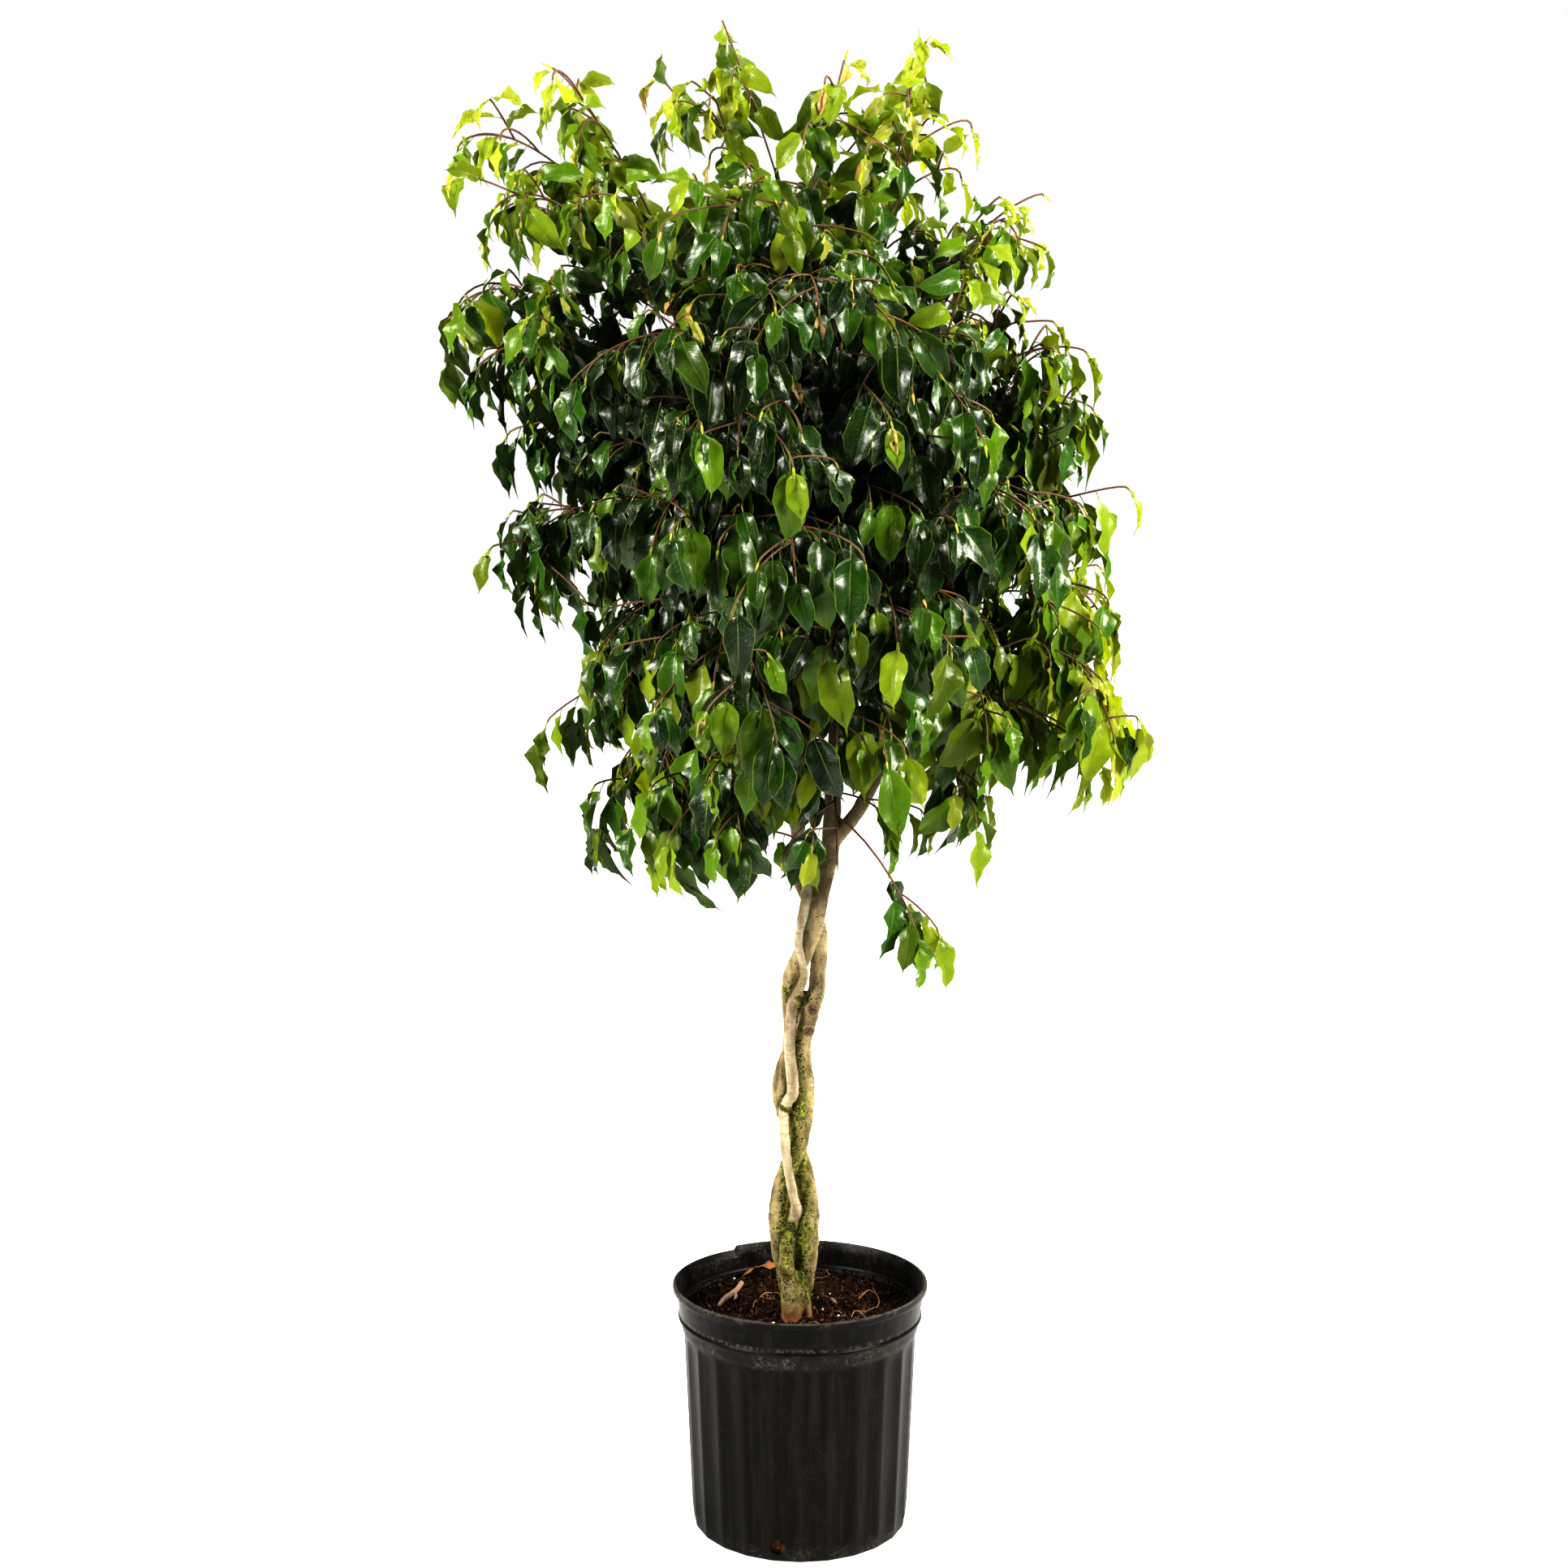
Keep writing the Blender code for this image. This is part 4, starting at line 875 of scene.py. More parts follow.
def perky_direction(ahead, side, height, draw):
    """Direction of a leaf that stands off its shoot before it arches over; more so high up."""
    lift = draw.uniform(-1.3, -0.25) + 0.75 * unit((height - 1.15) / 0.3)
    return ahead * draw.uniform(0.2, 0.8) + sideways_of(ahead, side) * draw.uniform(0.2, 0.8) + UP * lift


def end_direction(ahead, side, draw):
    """Direction of the leaf that carries its shoot on outward."""
    level = Vector((ahead.x, ahead.y, min(ahead.z, 0.0)))
    return level + sideways_of(ahead, side) * draw.uniform(0.0, 0.35) - UP * draw.uniform(0.0, 0.45)


def dress_shoot(route, draw, first=None):
    """A shoot with its leaves, to each side in turn and one at the end; on a short one they stand off it."""
    short = first is None
    sizes = (0.8 * BLADE_SHORTEST, 0.95 * BLADE_LONGEST) if short else (BLADE_SHORTEST, BLADE_LONGEST)
    leaves = []
    side = draw.choice((-1, 1))
    distance = LEAF_STEP * 0.6 if short else first
    while distance < route.length - (0.0 if short else LEAF_STEP * 0.5):
        point, ahead = route.at(distance)
        blade = draw.uniform(*sizes)
        along = perky_direction(ahead, side, point.z, draw) if short else side_direction(ahead, side, draw)
        leaves.append(place_leaf(point, along, blade, draw))
        side = -side
        distance += LEAF_STEP * draw.uniform(0.8, 1.25)
    point, ahead = route.at(route.length - (MM if short else 3 * MM))
    blade = END_BLADE * (BLADE_SHORTEST if short else draw.uniform(*sizes))
    leaves.append(place_leaf(point, end_direction(ahead, side, draw), blade, draw))
    return route, leaves


def grow_branch(number):
    """A branch's shoots, each a route with its leaves: the axis first, then the side twigs."""
    draw = random.Random(BRANCH_SEED + number)
    axis = branch_axis(number)
    shoots = [dress_shoot(axis, draw, STUB_LENGTH + 0.35 * (axis.length - STUB_LENGTH))]
    side = draw.choice((-1, 1))
    distance = STUB_LENGTH + FIRST_TWIG
    while distance < axis.length - LAST_TWIG:
        point, ahead = axis.at(distance)
        share = (distance - STUB_LENGTH) / (axis.length - STUB_LENGTH)
        length = TWIG_LENGTH * (0.6 + 0.4 * math.sin(math.pi * share)) * draw.uniform(0.75, 1.2)
        shoots.append(dress_shoot(grow_twig(point, ahead, side, length, draw), draw, LEAF_STEP * 0.9))
        side = -side
        distance += TWIG_STEP * draw.uniform(0.8, 1.2)
    return shoots


def half_width(share):
    """Half the blade's width at a share of its length."""
    drip = DRIP_WIDTH * (1.0 - share) / (1.0 - DRIP_START)
    if share >= BODY_END:
        return HALF_WIDTH * drip
    body = math.sin(math.pi * (share / BODY_END) ** 0.74) ** 0.66
    return HALF_WIDTH * max(body, min(drip, DRIP_WIDTH))


def blade_frame(variant, share):
    """Midrib point and upward normal of a leaf of unit blade length."""
    bend = math.radians(LEAF_BENDS[variant // len(LEAF_WAVES)])
    turn = bend * share ** 1.15
    middle = Vector((0.0, PETIOLE + math.sin(bend * share) / bend, -(1.0 - math.cos(bend * share)) / bend))
    return middle, Vector((0.0, math.sin(turn), math.cos(turn)))


def blade_point(variant, share, across):
    """A point of the waved, folded blade; across runs from -1 at the left margin to 1 at the right."""
    height, phase = LEAF_WAVES[variant % len(LEAF_WAVES)]
    middle, normal = blade_frame(variant, share)
    half = half_width(share)
    beat = math.tau * (2.0 * share + phase + 0.27 * across)
    half *= 1.0 + LEAF_RIPPLE * math.cos(beat) * math.sin(math.pi * share)
    wave = WAVE_SCALE * height * math.sin(beat) * abs(across) ** 1.5
    swell = LEAF_SWELL * half * (1.0 - (2.0 * abs(across) - 1.0) ** 2)
    lift = abs(across) * half * LEAF_FOLD + swell + wave * min(1.0, 1.6 * half / HALF_WIDTH)
    hook = (share - 0.55) ** 2 * 0.4 * math.cos(math.tau * phase) if share > 0.55 else 0.0
    twist = LEAF_TWIST * share * math.sin(math.tau * (phase + 0.1))
    sideways = across * half * math.cos(twist) - lift * math.sin(twist)
    upwards = across * half * math.sin(twist) + lift * math.cos(twist)
    return middle + Vector((sideways + hook, 0.0, 0.0)) + normal * upwards


def add_petiole(shape, variant):
    """The leaf's stalk, from its joint on the twig into the foot of the midrib."""
    middle, _ = blade_frame(variant, 0.12)
    centres = [Vector((0.0, 0.0, 0.0)), Vector((0.0, PETIOLE * 0.6, 0.012)), middle]
    rings = []
    for centre, radius in zip(centres, (1.25, 1.0, 0.6)):
        corners = [Vector((math.cos(turn), 0.0, math.sin(turn))) for turn in turns(PETIOLE_SIDES)]
        rings.append([shape.verts.new(centre + corner * PETIOLE_RADIUS * radius) for corner in corners])
    return [shape.faces.new(rings[0]), shape.faces.new(rings[-1][::-1]), *skin(shape, rings)]


def leaf_shape(variant):
    """One leaf of unit blade length: a closed thin blade with its map, and its stalk."""
    shape = bmesh.new()
    uv = shape.loops.layers.uv.new("leaf_uv")
    below = shape.faces.layers.float.new("underside")
    place = {}
    rows = {1: [], -1: []}
    for share in LEAF_SHARES:
        _, normal = blade_frame(variant, share)
        for side in (1, -1):
            row = []
            for across in LEAF_ACROSS:
                if side < 0 and abs(across) == 1.0:
                    row.append(rows[1][-1][LEAF_ACROSS.index(across)])
                    continue
                rise = normal * SHEET_HALF * side * (1.0 - abs(across))
                vertex = shape.verts.new(blade_point(variant, share, across) + rise)
                place[vertex] = (0.5 + across / 2, share)
                row.append(vertex)
            rows[side].append(row)
    for side in (1, -1):
        for near, far in zip(rows[side], rows[side][1:]):
            for corners in zip(near, near[1:], far[1:], far):
                face = shape.faces.new(corners if side > 0 else corners[:1] + corners[:0:-1])
                face[below] = 0.0 if side > 0 else 1.0
    shape.faces.new(rows[-1][0] + rows[1][0][-2:0:-1])
    for face in shape.faces:
        for loop in face.loops:
            loop[uv].uv = place[loop.vert]
    for face in add_petiole(shape, variant):
        face[below] = 0.0
        for loop in face.loops:
            loop[uv].uv = (0.5, 0.0)
    bmesh.ops.remove_doubles(shape, verts=shape.verts, dist=1e-5)
    return shape


def bud_shape():
    """The pointed sheath at a shoot's end, of unit length."""
    shape = bmesh.new()
    uv = shape.loops.layers.uv.new("leaf_uv")
    shape.faces.layers.float.new("underside")
    rings = []
    for share, radius in ((0.0, 0.05), (0.25, 0.10), (0.6, 0.07), (0.86, 0.025)):
        ring = []
        for turn in turns(BUD_SIDES):
            height = math.sin(turn) * radius - BUD_DROP * share ** 2
            ring.append(shape.verts.new((math.cos(turn) * radius, share, height)))
        rings.append(ring)
    shape.faces.new(rings[0])
    skin(shape, rings)
    fan(shape, rings[-1], shape.verts.new((0.0, 1.0, -BUD_DROP)))
    for face in shape.faces:
        for loop in face.loops:
            loop[uv].uv = (0.3, 0.5)
    return shape


def leaf_library():
    """The leaf variants, the bud and two young leaves, in a collection that the branches draw from."""
    library = bpy.data.collections.new("leaf_library")
    for variant in range(BUD_VARIANT):
        library.objects.link(mesh_object(f"leaf_{variant:02d}", leaf_shape(variant)))
    library.objects.link(mesh_object(f"leaf_{BUD_VARIANT:02d}_bud", bud_shape()))
    for young, variant in zip(YOUNG_VARIANTS, (BUD_VARIANT - 2, BUD_VARIANT - 9)):
        shape = leaf_shape(variant)
        bmesh.ops.scale(shape, vec=(YOUNG_NARROW, 1.0, 1.0), verts=shape.verts)
        library.objects.link(mesh_object(f"leaf_{young:02d}_young", shape))
    return library


def inside_box(point, margin):
    """Whether a point stays inside the frame's box by a margin."""
    low, high = CAD_BOX
    return all(low[i] + margin < point[i] < high[i] - margin for i in range(3))


def leaf_inside_box(place, blade, variant):
    """Whether a leaf stays inside the frame's box."""
    spots = [blade_point(variant, share, side) for share in (0.2, 0.4, 0.6, 0.8, 1.0) for side in (-1, 0, 1)]
    return all(inside_box(place @ (spot * blade), MM) for spot in spots)


def leaf_missing(spot):
    """How likely a leaf is missing where the crown is open."""
    chances = [0.0]
    for low, high, chance in OPEN_PLACES:
        if all(low[i] * MM < spot[i] < high[i] * MM for i in range(3)):
            chances.append(chance)
    return max(chances)


def short_shoots(number, shoots):
    """Short shoots along a branch's axis and side twigs."""
    draw = random.Random(SHORT_SEED + number)
    added = []
    for order, (route, _) in enumerate(shoots):
        distance = route.length * (0.20 if order == 0 else 0.30) + SHORT_STEP * draw.random()
        side = draw.choice((-1, 1))
        while distance < route.length * 0.9:
            point, ahead = route.at(distance)
            twig = grow_short_shoot(point, ahead, side, SHORT_LENGTH * draw.uniform(0.5, 1.3), draw)
            thin = min(0.6, max(0.0, (point.z - 1.2) / 0.25))
            grows = draw.random() > thin and leaf_missing(twig.points[-1]) < 0.9
            if grows and all(inside_box(spot, SHORT_CLEAR) for spot in twig.points):
                added.append(dress_shoot(twig, draw))
            side = -side
            distance += SHORT_STEP * draw.uniform(0.8, 1.4)
    return added


def spray(axis, shares, shortest, longest, draw):
    """A leafy axis with short shoots at shares of its length."""
    shoots = [dress_shoot(axis, draw)]
    for share in shares:
        point, ahead = axis.at(axis.length * share)
        length = SHORT_LENGTH * draw.uniform(shortest, longest)
        shoots.append(dress_shoot(grow_short_shoot(point, ahead, draw.choice((-1, 1)), length, draw), draw))
    return shoots


def inner_sprays(leader, seed):
    """Leafy sprays close to a leader, inside the crown."""
    draw = random.Random(INNER_SEED + seed)
    rows = LEADERS[leader]
    shoots = []
    height = max(INNER_FOOT, rows[0][2] + INNER_PAST_FOOT)
    turn = draw.uniform(0.0, math.tau)
    while height < min(rows[-1][2] - INNER_BELOW_TOP, INNER_TOP):
        start, _ = leader_station(leader, height)
        turn += INNER_TURN
        out = spot_round(1.0, turn)
        length = draw.uniform(*INNER_REACH) * MM
        tip = start + out * length + UP * length * draw.uniform(-0.25, 0.45)
        shoots += spray(arch(start, tip, UP * length * 0.3, 12), (0.35, 0.6, 0.8), 0.9, 1.7, draw)
        height += INNER_STEP * draw.uniform(0.8, 1.2)
    return shoots


def fill_sprays():
    """Sprays off the inner leader that close the gaps in the front of the crown."""
    draw = random.Random(INNER_SEED - 1)
    shoots = []
    for height, reach in FILL_SPRAYS:
        start, _ = leader_station("inner", height)
        tip = Vector(reach) * MM
        axis = arch(start, tip, UP * (tip - start).length * 0.2, 12)
        shoots += spray(axis, (0.45, 0.6, 0.75, 0.9), 0.8, 1.5, draw)
    return shoots


def leaf_youth_and_painted_light(leaf, last, draw):
    """How young a leaf is, with painted light: lighter at shoot ends for youth; lighter high up, low down
    and at the crown's sides, the right most, as painted light, and darker in its middle as painted shade.
    """
    tip = leaf[0] @ (blade_point(leaf[2], 0.6, 0.0) * leaf[1])
    high = unit((tip.z - 1.12) / 0.30)
    low = unit((1.0 - tip.z) / 0.22)
    side = max((tip.x + 0.06) / 0.36, -0.62 * tip.x / 0.36, 0.0)
    middle = max(0.0, 1.0 - abs(tip.z - 1.14) / 0.17) * max(0.0, 1.0 - abs(tip.x) / 0.30)
    # Painted light: the high, low and side terms paint light, brightest on the right, and the middle term
    # paints shade inside the crown.
    youth_and_painted_light = 0.01 + 0.27 * low + 0.58 * high + 0.50 * side ** 2 - 0.20 * middle
    youth_and_painted_light += draw.gauss(0.0, 0.15 + 0.07 * low)
    if last:
        youth_and_painted_light += 0.10 + 0.14 * high
    if draw.random() < 0.07:
        youth_and_painted_light += 0.38
    return min(max(youth_and_painted_light, 0.0), 0.86)


def geometry_tree(name, sockets):
    """A geometry tree with named inputs: the tree, its inputs, and a way to add nodes."""
    tree = bpy.data.node_groups.new(name, "GeometryNodeTree")
    for label, kind in {"Geometry": "Geometry", **sockets}.items():
        tree.interface.new_socket(label, in_out="INPUT", socket_type="NodeSocket" + kind)
    tree.interface.new_socket("Geometry", in_out="OUTPUT", socket_type="NodeSocketGeometry")

    def add(kind, inputs=(), **settings):
        return add_node(tree, kind if "Node" in kind else "GeometryNode" + kind, inputs, **settings)

    return tree, add("NodeGroupInput"), add


def leafy_branch_tree():
    """Geometry tree: leaves hung on the points, and round twigs along the shoots."""
    tree, given, add = geometry_tree("leafy_branch", {
        "Shoots": "Object", "Leaves": "Collection", "Twig sides": "Int", "Leaf finish": "Material",
        "Twig finish": "Material",
    })
    picks = {"Collection": given["Leaves"], "Separate Children": True, "Reset Children": True}
    leaves = add("InstanceOnPoints", {
        "Points": given["Geometry"],
        "Instance": add("CollectionInfo", picks)["Instances"],
        "Pick Instance": True,
        "Instance Index": add("InputNamedAttribute", {"Name": "variant"}, data_type="INT")["Attribute"],
        "Rotation": add("InputNamedAttribute", {"Name": "turn"}, data_type="FLOAT_VECTOR")["Attribute"],
        "Scale": add("InputNamedAttribute", {"Name": "blade"}, data_type="FLOAT")["Attribute"],
    })
    leaves = add("RealizeInstances", {"Geometry": leaves["Instances"]})
    leaves = add("SetMaterial", {"Geometry": leaves["Geometry"], "Material": given["Leaf finish"]})
    shoots = add("ObjectInfo", {"Object": given["Shoots"]})["Geometry"]
    girth = add("InputRadius")[0]
    shoots = add("StoreNamedAttribute", {"Geometry": shoots, "Name": "girth", "Value": girth})
    section = add("CurvePrimitiveCircle", {"Radius": MM, "Resolution": given["Twig sides"]})["Curve"]
    wood = add("CurveToMesh", {"Curve": shoots["Geometry"], "Profile Curve": section, "Fill Caps": True})
    wood = add("SetMaterial", {"Geometry": wood["Mesh"], "Material": given["Twig finish"]})
    whole = add("JoinGeometry", {"Geometry": [leaves["Geometry"], wood["Geometry"]]})["Geometry"]
    add("NodeGroupOutput", {"Geometry": add("RealizeInstances", {"Geometry": whole})["Geometry"]})
    return tree


def scatter_tree():
    """Geometry tree: bits scattered over a surface, each turned and sized at random."""
    tree, given, add = geometry_tree("scatter_bits", {
        "Bits": "Collection", "Density": "Float", "Smallest": "Float", "Largest": "Float", "Seed": "Int",
        "Finish": "Material",
    })
    seed = {"Seed": given["Seed"]}
    spots = add("DistributePointsOnFaces", {"Mesh": given["Geometry"], "Density": given["Density"], **seed})
    tone = add("FunctionNodeRandomValue", seed)[1]
    spots = add("StoreNamedAttribute", {"Geometry": spots["Points"], "Name": "tone", "Value": tone})
    picks = {"Collection": given["Bits"], "Separate Children": True, "Reset Children": True}
    turned = {1: (math.tau, math.tau, math.tau), **seed}
    bits = add("InstanceOnPoints", {
        "Points": spots["Geometry"],
        "Instance": add("CollectionInfo", picks)["Instances"],
        "Pick Instance": True,
        "Rotation": add("FunctionNodeRandomValue", turned, data_type="FLOAT_VECTOR")[0],
        "Scale": add("FunctionNodeRandomValue", {2: given["Smallest"], 3: given["Largest"], **seed})[1],
    })
    bits = add("RealizeInstances", {"Geometry": bits["Instances"]})
    bits = add("SetMaterial", {"Geometry": bits["Geometry"], "Material": given["Finish"]})
    add("NodeGroupOutput", {"Geometry": bits["Geometry"]})
    return tree


def use_tree(item, tree, values):
    """Put a geometry tree on an object with its named inputs set."""
    modifier = item.modifiers.new(tree.name, "NODES")
    modifier.node_group = tree
    given = [socket for socket in tree.interface.items_tree if socket.in_out == "INPUT"]
    sockets = {socket.name: socket.identifier for socket in given}
    for name, value in values.items():
        modifier[sockets[name]] = value


def shoot_curves(name, shoots, thick):
    """The branch's shoots as curves that carry their radius in millimetres; the first ones thick."""
    curve = bpy.data.curves.new(name, "CURVE")
    curve.dimensions = "3D"
    for order, (route, _) in enumerate(shoots):
        spline = curve.splines.new("POLY")
        spline.points.add(len(route.points) - 1)
        for spline_point, point, mark in zip(spline.points, route.points, route.marks):
            share = mark / route.length
            if order >= thick:
                radius = TWIG_RADIUS + (TWIG_TIP_RADIUS - TWIG_RADIUS) * share
            else:
                radius = STUB_RADIUS + (TIP_RADIUS - STUB_RADIUS) * share
                radius *= 1.0 + FOOT_FLARE * math.exp(-mark / FOOT_FLARE_LENGTH)
            spline_point.co = (*point, 1.0)
            spline_point.radius = radius
    return bpy.data.objects.new(name, curve)


def cut_back(shoot):
    """A shoot that ends at the top of the frame's box, shortened so that its last leaves rise above it."""
    route, leaves = shoot
    if route.points[-1].z < CAD_BOX[1][2] - TOP_ZONE:
        return shoot
    length = route.length - TOP_CUT
    points = [point for point, mark in zip(route.points, route.marks) if mark < length - MM]
    points.append(route.at(length)[0])
    kept = []
    for place, blade, variant in leaves:
        if place.translation.z > points[-1].z:
            place = Matrix.Translation(points[-1] - place.translation) @ place
        kept.append((place, blade, variant))
    return Route(points), kept


def hanging_leaves(leaves, draw):
    """A shoot's leaves as rows of point, turn, size, variant, tone, and age with painted light."""
    rows = []
    for order, leaf in enumerate(leaves):
        tone = draw.random()
        youth_and_painted_light = leaf_youth_and_painted_light(leaf, order == len(leaves) - 1, draw)
        place, blade, variant = leaf
        blade *= 1.0 - TOP_SMALLER * unit((place.translation.z - 1.1) / 0.25)
        if not leaf_inside_box(place, blade, variant):
            spot = place.translation
            inward = Vector((-spot.x, -spot.y, 0.0)).normalized()
            place, _, variant = place_leaf(spot, inward * 0.25 - UP, blade, draw)
        if not leaf_inside_box(place, blade, variant):
            continue
        if draw.random() >= leaf_missing(place @ (blade_point(variant, 0.5, 0.0) * blade)):
            rows.append((place.translation, place.to_euler(), blade, variant, tone, youth_and_painted_light))
    return rows


def shoot_end(route, draw):
    """The bud at a shoot's end, and a young leaf beside it on many, as such rows."""
    tip, ahead = route.at(route.length)
    if not inside_box(tip, 1.5 * BUD_LENGTH):
        return []
    turn = ahead.to_track_quat("Y", "Z").to_euler()
    size = BUD_LENGTH * draw.uniform(0.7, 1.3)
    rows = [(tip - ahead * MM, turn, size, BUD_VARIANT, 0.0, draw.uniform(0.78, 0.93))]
    if draw.random() < 0.06 + 0.64 * unit((tip.z - 1.05) / 0.28):
        along = end_direction(ahead, draw.choice((-1, 1)), draw)
        place, _, variant = place_leaf(tip, along, YOUNG_LENGTH, draw)
        size = YOUNG_LENGTH * draw.uniform(0.6, 1.2)
        if leaf_inside_box(place, size, variant):
            variant = draw.choice(YOUNG_VARIANTS)
            rows.append((tip, place.to_euler(), size, variant, 0.0, draw.uniform(0.84, 1.0)))
    return rows


def hanging_points(name, shoots, draw):
    """One point for each leaf and bud, with its turn, size, variant, tone, and age with painted light."""
    rows = []
    for route, leaves in shoots:
        rows += hanging_leaves(leaves, draw)
        rows += shoot_end(route, draw)
    points, angles, blades, variants, tones, youth_and_painted_light_values = [list(column) for column in zip(*rows)]
    mesh = bpy.data.meshes.new(name)
    mesh.from_pydata(points, [], [])
    mesh.attributes.new("turn", "FLOAT_VECTOR", "POINT").data.foreach_set("vector", np.ravel(angles))
    mesh.attributes.new("variant", "INT", "POINT").data.foreach_set("value", variants)
    for key, values in (("blade", blades), ("tone", tones), ("youth_and_painted_light", youth_and_painted_light_values)):
        float_attribute(mesh, key, values)
    return bpy.data.objects.new(name, mesh)


def foliage_piece(name, shoots, thick, draw, tree, inputs):
    """One mesh of twigs, leaves and buds; the first shoots are thick axes."""
    curves = link(shoot_curves(f"{name}_shoots", shoots, thick))
    host = link(hanging_points(f"{name}_joints", shoots, draw))
    use_tree(host, tree, {"Shoots": curves, **inputs})
    piece = evaluated_copy(host, name)
    piece.data.shade_smooth()
    piece.data.set_sharp_from_angle(angle=LEAF_SHARP)
    bpy.data.objects.remove(curves, do_unlink=True)
    return piece


def build_foliage():
    """Every leafy branch with all its twigs, leaves and buds, and the sprays inside the crown."""
    library = leaf_library()
    tree = leafy_branch_tree()
    finishes = {"Leaf finish": leaf_finish(), "Twig finish": twig_finish()}
    inputs = {"Leaves": library, "Twig sides": TWIG_SIDES, **finishes}
    for number in range(len(BRANCHES)):
        draw = random.Random(TONE_SEED + number)
        shoots = [cut_back(shoot) for shoot in grow_branch(number)]
        shoots += short_shoots(number, shoots)
        piece = foliage_piece(f"foliage_{number + 1:02d}", shoots, 1, draw, tree, inputs)
        settle_piece(piece, "foliage", f"leafy_branch_{number + 1:02d}")
    for seed, leader in enumerate(LEADERS):
        draw = random.Random(TONE_SEED - 1 - seed)
        shoots = inner_sprays(leader, seed)
        if leader == "inner":
            shoots += fill_sprays()
        piece = foliage_piece(f"inner_foliage_{leader}", shoots, 0, draw, tree, inputs)
        settle_piece(piece, "foliage")
    drop_collection(library)


def smooth_rows(rows, step):
    """Rows of (x, y, z, radius) read along a smooth line, about one each step, in millimetres."""
    table = np.array(rows, dtype=float)
    table = np.vstack([2 * table[0] - table[1], table, 2 * table[-1] - table[-2]])
    smooth = []
    for before, first, second, after in zip(table, table[1:], table[2:], table[3:]):
        count = max(1, round(float(np.linalg.norm(second[:3] - first[:3])) / step))
        for t in np.arange(count) / count:
            smooth.append(0.5 * (2 * first + (second - before) * t
                                 + (2 * before - 5 * first + 4 * second - after) * t ** 2
                                 + (3 * first - before - 3 * second + after) * t ** 3))
    smooth.append(table[-2])
    return np.array(smooth)


def bark_tube(shape, rows, sides, seed, flare=0.0):
    """A closed round stem with uneven bark: low lumps, ring scars and a flared foot."""
    points = [Vector(row[:3]) for row in rows]
    rings = []
    travelled = 0.0
    before = points[0]
    for (point, across, other), row in zip(frames(points, Vector((1.0, 0.0, 0.0))), rows):
        travelled += (point - before).length
        before = point
        radius = row[3] * (1.0 + flare * math.exp(-travelled / (2.2 * row[3])))
        scar = max(0.0, noise.noise(Vector((seed, 0.0, travelled / 6.0))) - 0.15) * RING_RELIEF * row[3] / 6
        ring = []
        for turn in turns(sides):
            out = across * math.cos(turn) + other * math.sin(turn)
            spot = point + out * radius
            place = Vector((spot.x, spot.y, spot.z * 0.6)) / 11.0 + Vector((seed, 0, 0))
            uneven = noise.fractal(place, 1.0, 2.0, 3)
            ring.append(shape.verts.new((spot + out * (uneven * BARK_RELIEF * row[3] / 9 + scar)) * MM))
        rings.append(ring)
    skin(shape, rings)
    for end, inner, row, ring in ((0, 1, rows[0], rings[0]), (-1, -2, rows[-1], rings[-1])):
        ahead = (points[end] - points[inner]).normalized()
        fan(shape, ring, shape.verts.new((points[end] + ahead * row[3] * 0.5) * MM))


def stem_lines():
    """The smooth lines of the stems, in order; the front strand's dips into the others."""
    return {name: dipped_strand() if name == "stem_front" else smooth_rows(rows, STEM_STEP)
            for name, (rows, _) in STEMS.items()}


def stem_distances(places):
    """Each stem's distance from each place, in millimetres."""
    reach = []
    for line in stem_lines().values():
        nearest = np.full(len(places), 99.0)
        for start in range(0, len(places), 4000):
            some = places[start:start + 4000]
            away = np.linalg.norm(some[:, None] - line[None, :, :3], axis=2) - line[None, :, 3]
            nearest[start:start + 4000] = away.min(axis=1)
        reach.append(nearest)
    return np.array(reach)


